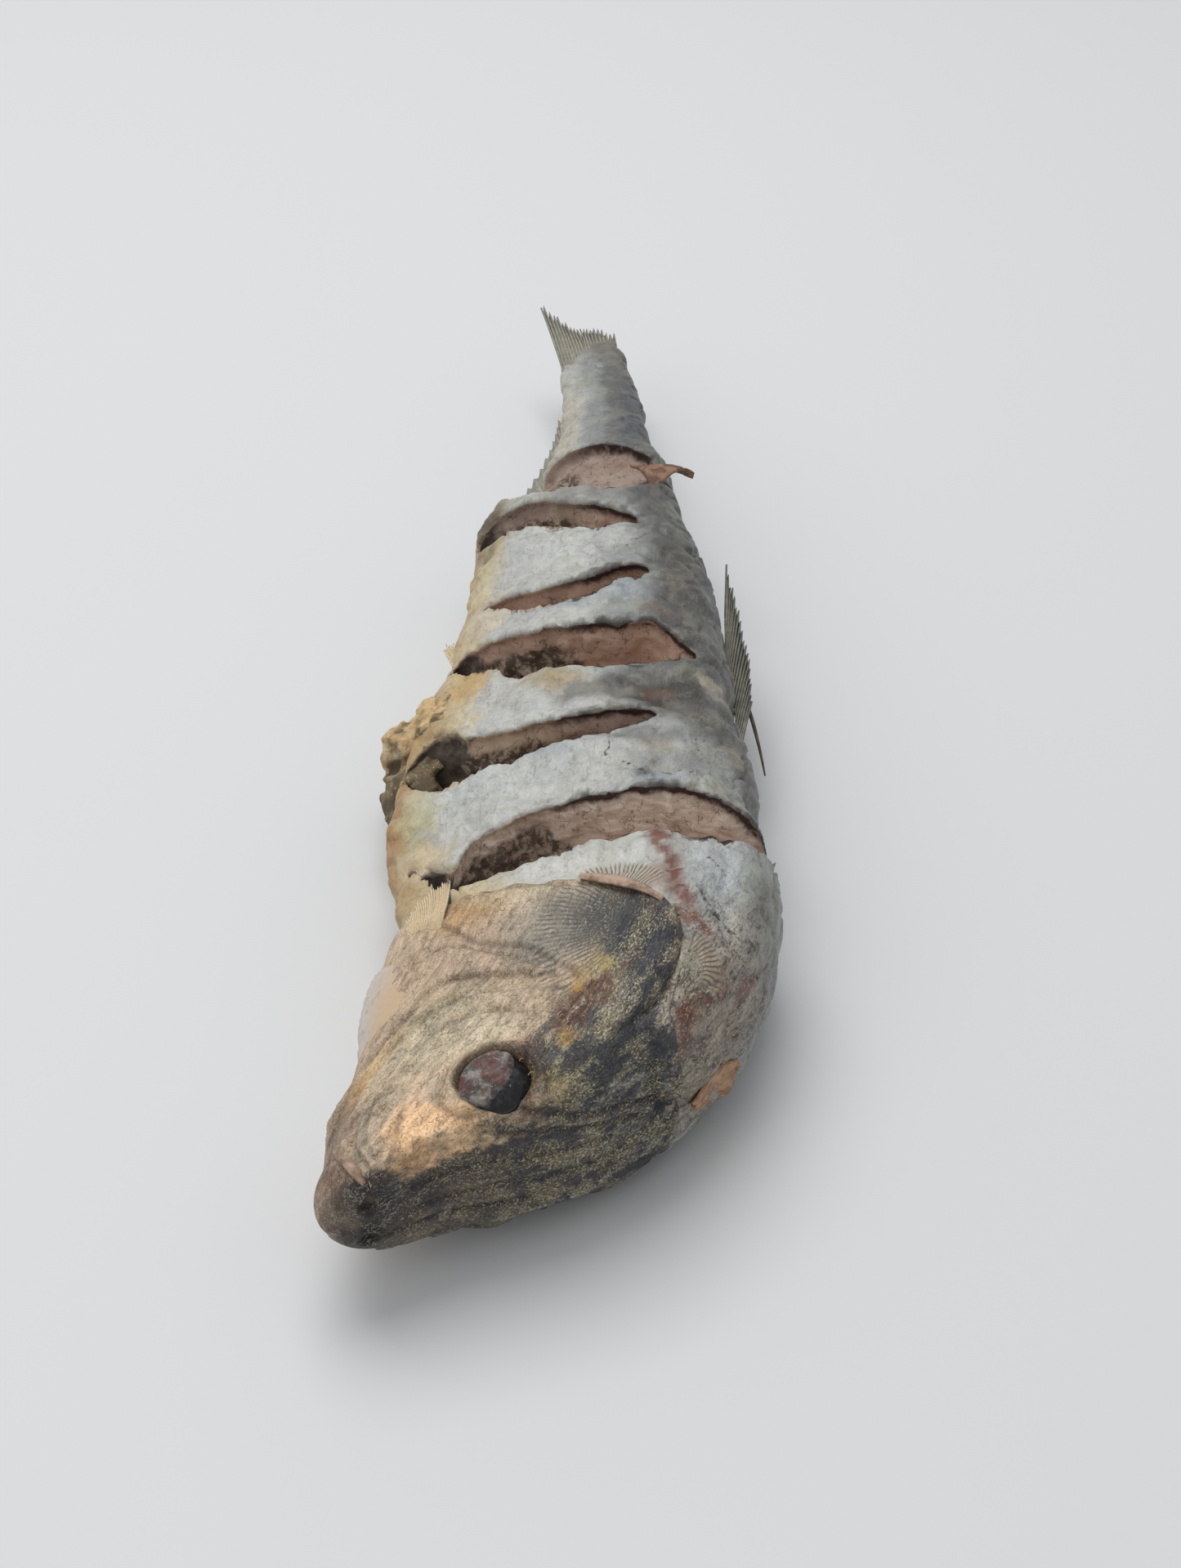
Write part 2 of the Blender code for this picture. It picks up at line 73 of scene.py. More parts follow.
# place, reach of the back and of the belly, rise above and depth below the middle, squareness of
# the back and of the belly
STATIONS = np.array((
    (0.0, 0.5, 0.3, 0.6, 0.6, 2.0, 2.0), (1.2, 2.5, 1.9, 3.3, 3.1, 2.2, 2.0),
    (4.0, 4.4, 3.4, 5.2, 4.9, 2.8, 2.0), (9.0, 6.6, 6.1, 6.6, 6.4, 3.4, 1.9),
    (15.5, 11.0, 8.7, 8.0, 7.8, 3.8, 1.8), (22.0, 14.2, 11.7, 9.3, 8.8, 3.4, 1.8),
    (29.0, 17.6, 14.1, 10.2, 9.6, 2.9, 1.8), (36.0, 19.8, 14.6, 10.6, 10.4, 2.6, 1.7),
    (46.0, 21.0, 16.8, 10.4, 11.3, 2.5, 1.5), (58.0, 19.8, 18.4, 10.2, 11.4, 2.4, 1.5),
    (72.0, 17.8, 17.6, 10.0, 11.4, 2.3, 1.6), (86.0, 16.2, 15.0, 10.0, 11.4, 2.3, 1.7),
    (98.0, 14.8, 14.0, 9.7, 11.2, 2.3, 1.7), (109.0, 12.4, 14.0, 9.1, 10.0, 2.3, 1.8),
    (119.0, 10.4, 13.2, 8.4, 8.2, 2.2, 1.8), (128.0, 8.9, 7.6, 7.0, 6.6, 2.2, 1.9),
    (137.0, 6.2, 5.8, 5.0, 5.0, 2.1, 2.0), (150.0, 5.2, 5.2, 3.6, 3.6, 2.0, 2.0),
    (162.0, 4.5, 4.4, 2.3, 2.3, 2.0, 2.0), (LENGTH, 3.8, 3.6, 1.1, 1.1, 2.0, 2.0),
))
THICKEST = 0.30
SAGGED_BELLY = 2.6


def eased(value, start, end):
    """0 before start, 1 after end, and smooth between."""
    t = np.clip((np.asarray(value, float) - start) / (end - start), 0.0, 1.0)
    return t * t * (3.0 - 2.0 * t)


def backbone_turn(place):
    head = HEAD_TURN * (1.0 - eased(place, *HEAD_TURN_ENDS))
    trunk = TRUNK_TURN * eased(place, *TRUNK_TURN_ENDS)
    return np.radians(head + trunk + TAIL_TURN * eased(place, *TAIL_TURN_ENDS))


BACKBONE_STEP, PAST_SNOUT, PAST_TAIL = 0.25, 10.0, 20.0
BACKBONE_PLACES = np.arange(-PAST_SNOUT, LENGTH + PAST_TAIL, BACKBONE_STEP)
at_snout = np.searchsorted(BACKBONE_PLACES, 0.0)
backbone_x = np.cumsum(np.sin(backbone_turn(BACKBONE_PLACES))) * BACKBONE_STEP
backbone_y = np.cumsum(np.cos(backbone_turn(BACKBONE_PLACES))) * BACKBONE_STEP
backbone_x += SNOUT[0] - backbone_x[at_snout]
backbone_y += SNOUT[1] - backbone_y[at_snout]


def in_frame(place, reach, height):
    """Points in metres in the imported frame, from fish measures."""
    turn = backbone_turn(place)
    x = np.interp(place, BACKBONE_PLACES, backbone_x) + np.cos(turn) * reach - MIDDLE_IN_PLAN[0]
    y = np.interp(place, BACKBONE_PLACES, backbone_y) - np.sin(turn) * reach - MIDDLE_IN_PLAN[1]
    return np.stack(np.broadcast_arrays(x, y, height), axis=-1) * MM


SEARCH_ROUNDS, SEARCH_SHARE, SEARCH_ENDS = 24, 0.7, (-5.0, LENGTH + 15.0)


def fish_measures(points):
    """Place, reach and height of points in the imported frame."""
    x = points[:, 0] / MM + MIDDLE_IN_PLAN[0]
    y = points[:, 1] / MM + MIDDLE_IN_PLAN[1]
    place = np.clip(y - SNOUT[1], 0.0, SEARCH_ENDS[1])
    for _ in range(SEARCH_ROUNDS):
        turn = backbone_turn(place)
        east = x - np.interp(place, BACKBONE_PLACES, backbone_x)
        north = y - np.interp(place, BACKBONE_PLACES, backbone_y)
        place = np.clip(place + SEARCH_SHARE * (east * np.sin(turn) + north * np.cos(turn)), *SEARCH_ENDS)
    return place, east * np.cos(turn) - north * np.sin(turn), points[:, 2] / MM


def station(place):
    """The fish's measures at places, on smooth curves through the stations."""
    i = np.clip(np.searchsorted(STATIONS[:, 0], place) - 1, 0, len(STATIONS) - 2)
    before, here, after, last = (STATIONS[np.clip(i + k, 0, len(STATIONS) - 1)] for k in (-1, 0, 1, 2))
    span = after[:, :1] - here[:, :1]
    slope_here = (after - before) / (after[:, :1] - before[:, :1])
    slope_after = (last - here) / (last[:, :1] - here[:, :1])
    t = (place[:, None] - here[:, :1]) / span
    curve = (2 * t**3 - 3 * t**2 + 1) * here + (t**3 - 2 * t**2 + t) * span * slope_here
    curve += (3 * t**2 - 2 * t**3) * after + (t**3 - t**2) * span * slope_after
    return curve[:, 1:, None].transpose(1, 0, 2)


def sections(places, angles):
    """Reach and height of the skin: angle 0 is the back's edge, 90 degrees the upper flank."""
    back, belly, rise, depth, back_power, belly_power = station(places)
    across, up = np.cos(angles)[None], np.sin(angles)[None]
    belly_power = np.where(up < 0, np.maximum(belly_power, SAGGED_BELLY), belly_power)
    power = 2.0 / np.where(across > 0, back_power, belly_power)
    across = np.sign(across) * np.abs(across) ** power
    up = np.sign(up) * np.abs(up) ** power
    across = across + THICKEST * (1.0 - across * across)
    return (back - belly) / 2 + (back + belly) / 2 * across, MID_HEIGHT + np.where(up > 0, rise, depth) * up


# The skin as a table: rows along the fish, columns at even distances around it from the back's
# edge over the upper flank to the belly and back under it
TABLE_STEP, TABLE_AROUND, WALK_STEPS = 0.5, 480, 4000
TABLE_PLACES = np.arange(0.0, LENGTH + TABLE_STEP / 2, TABLE_STEP)
skin_reach, skin_height = [], []
for reach_row, height_row in zip(*sections(TABLE_PLACES, np.linspace(0.0, 2.0 * math.pi, WALK_STEPS + 1))):
    walked = np.append(0.0, np.cumsum(np.hypot(np.diff(reach_row), np.diff(height_row))))
    evenly = np.linspace(0.0, walked[-1], TABLE_AROUND + 1)
    skin_reach.append(np.interp(evenly, walked, reach_row))
    skin_height.append(np.interp(evenly, walked, height_row))
skin_reach, skin_height = np.array(skin_reach), np.array(skin_height)


def skin(place, share):
    """Reach and height of the skin at places and at shares of the way around."""
    along = np.clip(place / TABLE_STEP, 0.0, len(TABLE_PLACES) - 1.001)
    around = np.clip(share * TABLE_AROUND, 0.0, TABLE_AROUND - 0.001)
    i, j = along.astype(int), around.astype(int)
    a, b = along - i, around - j
    return [
        (rows[i, j] * (1 - b) + rows[i, j + 1] * b) * (1 - a)
        + (rows[i + 1, j] * (1 - b) + rows[i + 1, j + 1] * b) * a
        for rows in (skin_reach, skin_height)
    ]


def flank_height(place, reach, side=1):
    """Height of the upper flank (side 1) or the underside (side -1)."""
    half = TABLE_AROUND // 2
    row = int(np.clip(round(float(place) / TABLE_STEP), 0, len(TABLE_PLACES) - 1))
    part = slice(0, half + 1) if side > 0 else slice(half, TABLE_AROUND + 1)
    order = np.argsort(skin_reach[row, part])
    return np.interp(reach, skin_reach[row, part][order], skin_height[row, part][order])


def uneven(points, size, seed=0):
    """Smooth random values from about -1 to 1 that change over lengths of size."""
    scaled = np.asarray(points, float) / size
    cell = np.floor(scaled).astype(np.int64)
    inside = scaled - cell
    blend = inside**3 * (inside * (inside * 6.0 - 15.0) + 10.0)
    total = np.zeros(len(scaled))
    for corner in np.ndindex(2, 2, 2):
        code = ((cell + corner) * (73856093, 19349663, 83492791)).sum(axis=1) + seed * 7919
        for shift, factor in ((15, 2246822519), (13, 3266489917)):
            code = ((code ^ (code >> shift)) * factor) & 0xFFFFFFFF
        slopes = np.stack([(code >> shift & 255) / 127.5 - 1.0 for shift in (3, 11, 19)], axis=1)
        weight = np.prod(np.where(corner, blend, 1.0 - blend), axis=1)
        total += weight * (slopes * (inside - corner)).sum(axis=1)
    return total * 1.5


def placed(name, data):
    """An object in the scene from mesh data, with smooth faces."""
    data.shade_smooth()
    piece = bpy.data.objects.new(name, data)
    bpy.context.scene.collection.objects.link(piece)
    return piece


def new_piece(name, points, faces):
    """A mesh object from points in metres."""
    data = bpy.data.meshes.new(name)
    data.from_pydata(np.asarray(points).tolist(), [], [[int(i) for i in face] for face in faces])
    return placed(name, data)


def points_of(piece):
    points = np.empty(len(piece.data.vertices) * 3)
    piece.data.vertices.foreach_get("co", points)
    return points.reshape(-1, 3)


def normals_of(piece):
    normals = np.empty(len(piece.data.vertices) * 3)
    piece.data.vertex_normals.foreach_get("vector", normals)
    return normals.reshape(-1, 3)


def move_points(piece, points):
    piece.data.vertices.foreach_set("co", points.ravel())
    piece.data.update()


def faces_out(piece):
    mesh = bmesh.new()
    mesh.from_mesh(piece.data)
    bmesh.ops.recalc_face_normals(mesh, faces=mesh.faces)
    mesh.to_mesh(piece.data)
    mesh.free()


def loft(name, rings):
    """A closed object through rings of equally many points."""
    rings = np.array(rings)
    count, around = rings.shape[:2]
    i, j = (grid.ravel() for grid in np.mgrid[0:count - 1, 0:around])
    here, right = i * around + j, i * around + (j + 1) % around
    faces = np.stack([here, right, right + around, here + around], axis=1).tolist()
    faces += [list(range(around))[::-1], list(range((count - 1) * around, count * around))]
    piece = new_piece(name, rings.reshape(-1, 3), faces)
    faces_out(piece)
    return piece


# The gill covers' and the nape's rear edge, as place over reach
RIM_REACH = (-16.0, -8.6, -5.6, -2.9, 0.0, 2.6, 6.6, 10.6, 13.3, 14.4, 15.0, 15.5, 17.0, 20.0)
RIM_PLACE = (35.0, 37.2, 37.8, 38.0, 38.3, 38.4, 37.8, 36.8, 35.0, 32.6, 30.4, 28.8, 27.8, 27.6)
TUCK, TUCK_START, TUCK_RUN = 1.8, 22.0, (3.5, 0.2)      # depth, first place, run before the rear edge
CORE_REACH, CORE_RADIUS = 1.5, 2.0                      # the line that tucked skin is drawn in to
TRUNK_STEP, TRUNK_AROUND = 1.0, 160


def rim_place(reach):
    return np.interp(reach, RIM_REACH, RIM_PLACE)


def behind_rim(place, reach):
    """0 well under the gill covers and the nape, 1 behind their rear edge."""
    rim = rim_place(reach)
    return eased(place, rim - TUCK_RUN[0], rim - TUCK_RUN[1])


def drawn_in(reach, height, depth, lowest=0.0):
    """Reach and height of skin that is moved by a depth towards the fish's core."""
    across, up = reach - CORE_REACH, height - MID_HEIGHT
    left = 1.0 - depth / np.maximum(np.hypot(across, up), CORE_RADIUS)
    return CORE_REACH + across * left, np.maximum(MID_HEIGHT + up * left, lowest)


trunk_rows = np.arange(TUCK_START, LENGTH + TRUNK_STEP / 2, TRUNK_STEP)
grid_place, grid_share = np.meshgrid(trunk_rows, np.arange(TRUNK_AROUND) / TRUNK_AROUND, indexing="ij")
reach, height = skin(grid_place, grid_share)
tucked = TUCK * (1.0 - behind_rim(grid_place, reach))
trunk = loft("trunk", in_frame(grid_place, *drawn_in(reach, height, tucked)))
whole_skin = loft("whole_skin", in_frame(grid_place, reach, np.maximum(height, 0.0)))

# Slashes, from the head to the tail: reach from belly to back, the places of the near and of the
# far edge, and the height of the bottom
SLASHES = (
    ((-17.8, 50.9, 51.5, 11.0), (-16.8, 50.2, 51.4, 9.0), (-13.8, 46.4, 48.8, 7.0), (-12.4, 43.0, 47.4, 6.0),
     (-10.9, 41.6, 46.8, 5.5), (-10.2, 41.4, 48.4, 5.5), (-9.6, 41.5, 50.1, 5.5), (-7.8, 42.3, 51.1, 5.0),
     (-5.4, 44.0, 51.8, 5.0), (-3.0, 44.6, 52.2, 5.0), (3.0, 46.0, 52.3, 5.0), (9.0, 46.8, 53.2, 5.0),
     (12.5, 46.8, 53.0, 5.5), (17.0, 46.6, 51.5, 6.0), (23.0, 47.4, 50.8, 7.0)),
    ((-20.0, 60.4, 68.0, 6.5), (-17.9, 59.1, 70.0, 6.0), (-16.3, 57.9, 71.0, 6.0), (-13.2, 58.5, 70.4, 6.0),
     (-11.3, 59.5, 67.4, 5.5), (-8.3, 60.9, 66.8, 5.5), (-2.4, 62.6, 66.6, 7.0), (1.3, 62.9, 66.3, 8.0),
     (4.5, 63.8, 66.6, 9.0), (7.5, 65.0, 66.9, 12.0), (9.8, 66.0, 66.6, 17.0)),
    ((-14.5, 82.0, 85.5, 11.0), (-12.5, 79.8, 86.6, 7.0), (-9.7, 78.6, 85.4, 5.0), (-7.0, 76.4, 84.8, 5.0),
     (-4.5, 76.7, 84.3, 5.5), (-1.3, 76.0, 83.8, 6.0), (3.7, 75.3, 82.6, 7.0), (7.5, 75.9, 83.6, 9.0),
     (10.5, 77.0, 80.5, 13.0), (12.5, 78.0, 78.8, 17.0)),
    ((-12.2, 94.2, 95.0, 12.5), (-10.8, 92.6, 95.2, 9.0), (-5.0, 89.9, 93.2, 7.0), (0.4, 90.0, 93.0, 8.0),
     (5.7, 92.8, 95.2, 12.0), (7.8, 94.4, 95.0, 17.0)),
    ((-17.0, 105.5, 115.5, 6.0), (-12.7, 106.0, 115.4, 6.5), (-10.0, 108.4, 115.2, 7.0),
     (-6.1, 107.5, 113.9, 8.0), (-2.1, 105.4, 111.0, 9.5), (1.6, 104.6, 108.7, 11.5),
     (5.0, 105.0, 106.8, 15.0), (7.0, 105.4, 105.9, 18.0)),
)
TORN_PATCH = (         # reach, the places of both edges, depth below the skin
    (-11.0, 118.6, 126.0, 0.8), (-9.0, 117.4, 129.0, 2.2), (-5.6, 116.2, 130.0, 3.2),
    (-0.7, 114.6, 129.5, 3.6), (4.2, 113.8, 126.5, 3.2), (7.2, 116.0, 124.5, 1.6),
)
CUT_STEP, CUT_TOP, NARROWEST_CUT = 0.4, 26.0, 0.3
KEEL = 2.5                             # what a slash leaves of the lower flank
RAGGED, RAGGED_SEED = ((0.5, 2.4), (0.3, 0.9)), 5      # how far and over what length the edges wander
NEAR_WALL_FOOT, FAR_WALL_FOOT = 0.62, 0.45             # where the walls start to slope in, as shares of the cut
SLASH_FLOOR, PATCH_FLOOR = 0.06, 0.35                  # half widths of the floors as shares of the cuts


def cut_rows(rows):
    """The edges and bottom of a cut every few tenths of reach, with a ragged line."""
    rows = np.array(rows)
    at = np.arange(rows[0, 0], rows[-1, 0] + CUT_STEP, CUT_STEP)
    near, far, bottom = (np.interp(at, rows[:, 0], rows[:, k]) for k in (1, 2, 3))
    ragged = []
    for number, line in enumerate((near, far, near)):
        line = np.stack([at, line, np.full(len(at), 9.0 * number)], axis=1)
        ragged.append(sum(far_off * uneven(line, length, RAGGED_SEED) for far_off, length in RAGGED))
    near = near + ragged[0]
    far = np.maximum(far + ragged[1], near + NARROWEST_CUT)
    return at, near, far, bottom + ragged[2]


cutters = bpy.data.collections.new("cutters")
bpy.context.scene.collection.children.link(cutters)


def as_cutter(piece):
    bpy.context.scene.collection.objects.unlink(piece)
    cutters.objects.link(piece)


slash_edges = []
for number, rows in enumerate(SLASHES):
    rings = []
    at, near, far, bottom = cut_rows(rows)
    slash_edges.append((at, near, far))
    for k in range(len(at)):
        low = max(bottom[k], flank_height(far[k], at[k], -1) + KEEL)
        middle, half = (near[k] + 2 * far[k]) / 3, (far[k] - near[k]) * SLASH_FLOOR
        corners = (
            (near[k], CUT_TOP), (near[k], low + NEAR_WALL_FOOT * (CUT_TOP - low)), (middle - half, low),
            (middle + half, low), (far[k], low + FAR_WALL_FOOT * (CUT_TOP - low)), (far[k], CUT_TOP),
        )
        rings.append([in_frame(place, at[k], z) for place, z in corners])
    as_cutter(loft(f"slash_{number}", rings))

at, near, far, depth = cut_rows(TORN_PATCH)
rings = []
for k in range(len(at)):
    middle, half = (near[k] + far[k]) / 2, (far[k] - near[k]) * PATCH_FLOOR
    corners = [(near[k], CUT_TOP), (near[k], flank_height(near[k], at[k]) - depth[k] / 3)]
    corners += [(p, flank_height(p, at[k]) - depth[k]) for p in (middle - half, middle + half)]
    corners += [(far[k], flank_height(far[k], at[k]) - depth[k] / 3), (far[k], CUT_TOP)]
    rings.append([in_frame(place, at[k], z) for place, z in corners])
as_cutter(loft("torn_patch", rings))


def lump(name, place, reach, height, radii, seed):
    """An uneven ball in fish measures; radii run along the fish, across it and up."""
    mesh = bmesh.new()
    bmesh.ops.create_icosphere(mesh, subdivisions=4, radius=1.0)
    data = bpy.data.meshes.new(name)
    mesh.to_mesh(data)
    mesh.free()
    piece = placed(name, data)
    ball = points_of(piece)
    size = 1.0 + CRUMBLE * (uneven(ball, 0.75, seed) + 0.5 * uneven(ball, 0.33, seed + 1))
    ball = ball * size[:, None] * np.array(radii)
    move_points(piece, in_frame(place + ball[:, 0], reach + ball[:, 1], height + ball[:, 2]))
    return piece


# The belly's hollow, which shows as dark caves at the foot of the first slashes' far walls
HOLLOWS = (            # place, reach, height and radii along, across and up
    (50.0, -7.5, 9.6, (4.5, 4.6, 3.0)), (57.0, -8.2, 10.2, (8.0, 5.2, 3.4)),
    (66.0, -9.6, 10.2, (8.0, 5.4, 3.8)), (72.5, -11.5, 10.4, (4.5, 4.4, 3.2)),
    (80.0, -8.6, 9.4, (6.0, 4.0, 3.2)), (46.0, -12.2, 11.0, (4.0, 2.2, 3.6)),
    (71.0, -15.0, 9.6, (4.5, 2.6, 2.6)), (71.6, -17.0, 12.4, (5.2, 3.4, 4.6)),
    (74.6, -16.6, 13.0, (3.4, 3.6, 3.6)),
)
CRUMBLE = 0.3                          # how far a hollow's or a crumb's surface wanders, in radii
for number, (place, reach, height, radii) in enumerate(HOLLOWS):
    as_cutter(lump(f"hollow_{number}", place, reach, height, radii, number))


def applied(piece):
    """Bakes the piece's modifiers into its mesh."""
    bpy.context.view_layer.update()
    data = bpy.data.meshes.new_from_object(piece.evaluated_get(bpy.context.evaluated_depsgraph_get()))
    piece.modifiers.clear()
    piece.data = data
    data.shade_smooth()


def remeshed(piece, voxel):
    """Rebuilds the piece with even faces of a voxel's size in millimetres, and softens its edges."""
    remesh = piece.modifiers.new("even_faces", "REMESH")
    remesh.mode, remesh.voxel_size, remesh.use_smooth_shade = "VOXEL", voxel * MM, True
    smooth = piece.modifiers.new("soft_edges", "SMOOTH")
    smooth.factor, smooth.iterations = 0.5, 1
    applied(piece)


TRUNK_VOXEL = 0.44
cut = trunk.modifiers.new("slashes", "BOOLEAN")
cut.operation, cut.operand_type, cut.collection, cut.solver = "DIFFERENCE", "COLLECTION", cutters, "EXACT"
applied(trunk)
for cutter in list(cutters.objects):
    bpy.data.objects.remove(cutter, do_unlink=True)
bpy.data.collections.remove(cutters)
remeshed(trunk, TRUNK_VOXEL)

skin_faces = [tuple(face.vertices) for face in whole_skin.data.polygons]
skin_tree = BVHTree.FromPolygons(points_of(whole_skin).tolist(), skin_faces)
bpy.data.objects.remove(whole_skin, do_unlink=True)
trunk_points = points_of(trunk)
place, reach, height = fish_measures(trunk_points)
cut_depth = np.array([skin_tree.find_nearest(point)[3] for point in trunk_points]) / MM
cut_depth = cut_depth * behind_rim(place, reach)
flesh = eased(cut_depth, 0.3, 0.6)

CREASES, CREASE_WIDTH, CREASE_BEND = ((5.2, 3, 0.36), (3.0, 6, 0.22)), 0.09, 0.9      # size, seed, depth


def wrinkled(measures):
    """How far dry skin rises or sinks at fish measures, in millimetres."""
    folds = 0.55 * uneven(measures, 5.0) + 0.16 * uneven(measures, 2.2, 1)
    folds += 0.08 * uneven(measures * (0.3, 1.0, 1.0), 1.2, 2)
    for size, seed, deep in CREASES:
        bent = measures + CREASE_BEND * uneven(measures, 2.0, seed + 20)[:, None]
        folds -= deep * np.exp(-((uneven(bent, size, seed) / CREASE_WIDTH) ** 2))
    return folds


# Bare flesh is fibrous, rougher in the hollow, and shrinks back under the skin's edge
measures = np.stack([place, reach, height], axis=1)
SHRUNK_BACK = 0.45
fibrous = 0.42 * uneven(measures, 2.4, 4) + 0.26 * uneven(measures * (1.0, 0.6, 1.6), 1.0, 5)
cavity = eased(cut_depth, 1.6, 2.6) * (1.0 - eased(reach, -2.0, 6.0))
fibrous += cavity * (0.5 * uneven(measures, 1.4, 7) + 0.2 * uneven(measures, 0.7, 9))
fibrous -= SHRUNK_BACK * eased(cut_depth, 0.5, 0.9) * (1.0 - eased(cut_depth, 1.2, 2.4))
DENTS = (              # name, place, reach, half length, half width, depth
    ("behind_gill_cover", 42.5, 9.0, 2.0, 4.0, 0.7), ("shoulder_fold", 42.0, 15.5, 5.0, 1.2, 0.7),
    ("first_slice_hollow", 58.5, 12.0, 2.4, 3.5, 0.6), ("second_slice_hollow", 72.0, 8.0, 3.0, 4.0, 0.9),
    ("belly_fold", 56.0, -12.5, 6.0, 1.2, 0.6),
)
dents = sum(
    depth * np.exp(-(((place - at_place) / half_length) ** 2) - (((reach - at_reach) / half_width) ** 2))
    for _, at_place, at_reach, half_length, half_width, depth in DENTS)

# The skin's lip curls up and is darker along its ragged edge on a slash's far side, and it sinks on its near
# side
FAR_LIP, NEAR_DIP = 0.2, 0.3
edge_lip, edge_dark = np.zeros(len(place)), np.zeros(len(place))
ragged_edge = 0.7 * uneven(measures, 1.6, 8) + 0.5 * uneven(measures, 0.7, 9)
upper = eased(height, MID_HEIGHT, MID_HEIGHT + 3.0)
for at, near, far in slash_edges:
    inside = eased(reach, at[0] - 0.5, at[0] + 2.0) * (1.0 - eased(reach, at[-1] - 2.0, at[-1] + 0.5)) * upper
    behind = place - np.interp(reach, at, far)
    edge_lip += FAR_LIP * inside * np.exp(-(((behind - 0.8) / 1.2) ** 2)) * (behind > -0.6)
    dark_here = inside * eased(reach, -4.0, 2.0) * (behind > -0.8)
    edge_dark = np.maximum(edge_dark, dark_here * (1.0 - eased(behind + 1.4 * ragged_edge, 0.1, 1.1)))
    before = np.interp(reach, at, near) - place
    edge_lip -= NEAR_DIP * inside * (1.0 - eased(before, 0.0, 2.2)) * (before > -0.6)
out = (wrinkled(measures) - dents + edge_lip) * (1 - flesh) + fibrous * flesh
BACK_DIPS = ((55.0, 5.5, 1.5), (75.0, 4.0, 0.8))       # place, half length and depth of dips in the back's edge
pulled = sum(deep * np.exp(-(((place - at_place) / half) ** 2)) for at_place, half, deep in BACK_DIPS)
pulled = pulled * eased(reach, 6.0, 20.0)
moved = in_frame(place, reach - pulled, height) + normals_of(trunk) * (out * MM)[:, None]
moved[:, 2] = np.maximum(moved[:, 2], 0.0)
move_points(trunk, moved)


def srgb(r, g, b):
    """A linear colour from screen values of 0 to 255."""
    c = np.array((r, g, b), float) / 255.0
    return np.where(c <= 0.04045, c / 12.92, ((c + 0.055) / 1.055) ** 2.4)


def tint(tone, colour, mask):
    """Lays a screen colour over tones where the mask says."""
    mask = np.clip(mask, 0.0, 1.0)[:, None]
    return tone * (1.0 - mask) + srgb(*colour) * mask


def spot(place, reach, centre, size, turn=0.0, edge=0.5):
    """A soft oval mask; size is its half length along and across, turned from the backbone."""
    a, b = place - centre[0], reach - centre[1]
    c, s = math.cos(math.radians(turn)), math.sin(math.radians(turn))
    far = np.hypot((a * c + b * s) / size[0], (b * c - a * s) / size[1])
    return 1.0 - eased(far, 1.0 - edge, 1.0 + edge)


def curved(points, steps=6):
    """A smooth line through points."""
    points = np.array(points, float)
    ends = np.concatenate([2 * points[:1] - points[1:2], points, 2 * points[-1:] - points[-2:-1]])
    t = np.linspace(0.0, 1.0, steps, endpoint=False)[:, None]
    rows = [
        b + ((c - a) * t + (2 * a - 5 * b + 4 * c - d) * t**2 + (3 * b - a - 3 * c + d) * t**3) / 2
        for a, b, c, d in zip(ends, ends[1:], ends[2:], ends[3:])
    ]
    return np.concatenate([*rows, points[-1:]])


def off_line(a, b, line):
    """Distances of points (a, b) from a smooth line, and which side of it they lie on."""
    line = curved(line)
    nearest, side = np.full(len(a), 99.0), np.zeros(len(a))
    low, high = line.min(axis=0) - 4.0, line.max(axis=0) + 4.0
    close = (a > low[0]) & (a < high[0]) & (b > low[1]) & (b < high[1])
    a, b = a[close], b[close]
    best, best_side = np.full(len(a), 99.0), np.zeros(len(a))
    for start, end in zip(line, line[1:]):
        step = end - start
        t = np.clip(((a - start[0]) * step[0] + (b - start[1]) * step[1]) / (step @ step), 0.0, 1.0)
        off_a, off_b = a - start[0] - t * step[0], b - start[1] - t * step[1]
        distance = np.hypot(off_a, off_b)
        best_side = np.where(distance < best, np.sign(step[0] * off_b - step[1] * off_a), best_side)
        best = np.minimum(best, distance)
    nearest[close], side[close] = best, best_side
    return nearest, side


def set_colour(piece, name, colours):
    """Keeps a colour at each of the piece's points, for its material."""
    layer = piece.data.attributes.new(name, "FLOAT_COLOR", "POINT")
    layer.data.foreach_set("color", np.column_stack([colours, np.ones(len(colours))]).ravel())


def set_value(piece, name, values):
    layer = piece.data.attributes.new(name, "FLOAT", "POINT")
    layer.data.foreach_set("value", np.asarray(values, float))


def set_vector(piece, name, vectors):
    layer = piece.data.attributes.new(name, "FLOAT_VECTOR", "POINT")
    layer.data.foreach_set("vector", np.asarray(vectors, float).ravel())


# Skin colours: silver flank, slate towards the back, ink on the back, cream and amber at the belly
SILVER, SLATE, INK = (195, 195, 190), (146, 149, 147), (92, 91, 88)
CREAM, AMBER = (205, 190, 156), (184, 148, 98)
STEM_SILVER, STEM_GREY, TAIL_TAN = (181, 177, 165), (140, 142, 141), (150, 140, 122)
FOLD_DARK, FOLD_PALE = (88, 80, 72), (196, 186, 168)
BLOOD, BLOOD_STAIN, RAGGED_EDGE_DARK = (108, 50, 38), (146, 104, 84), (66, 58, 54)
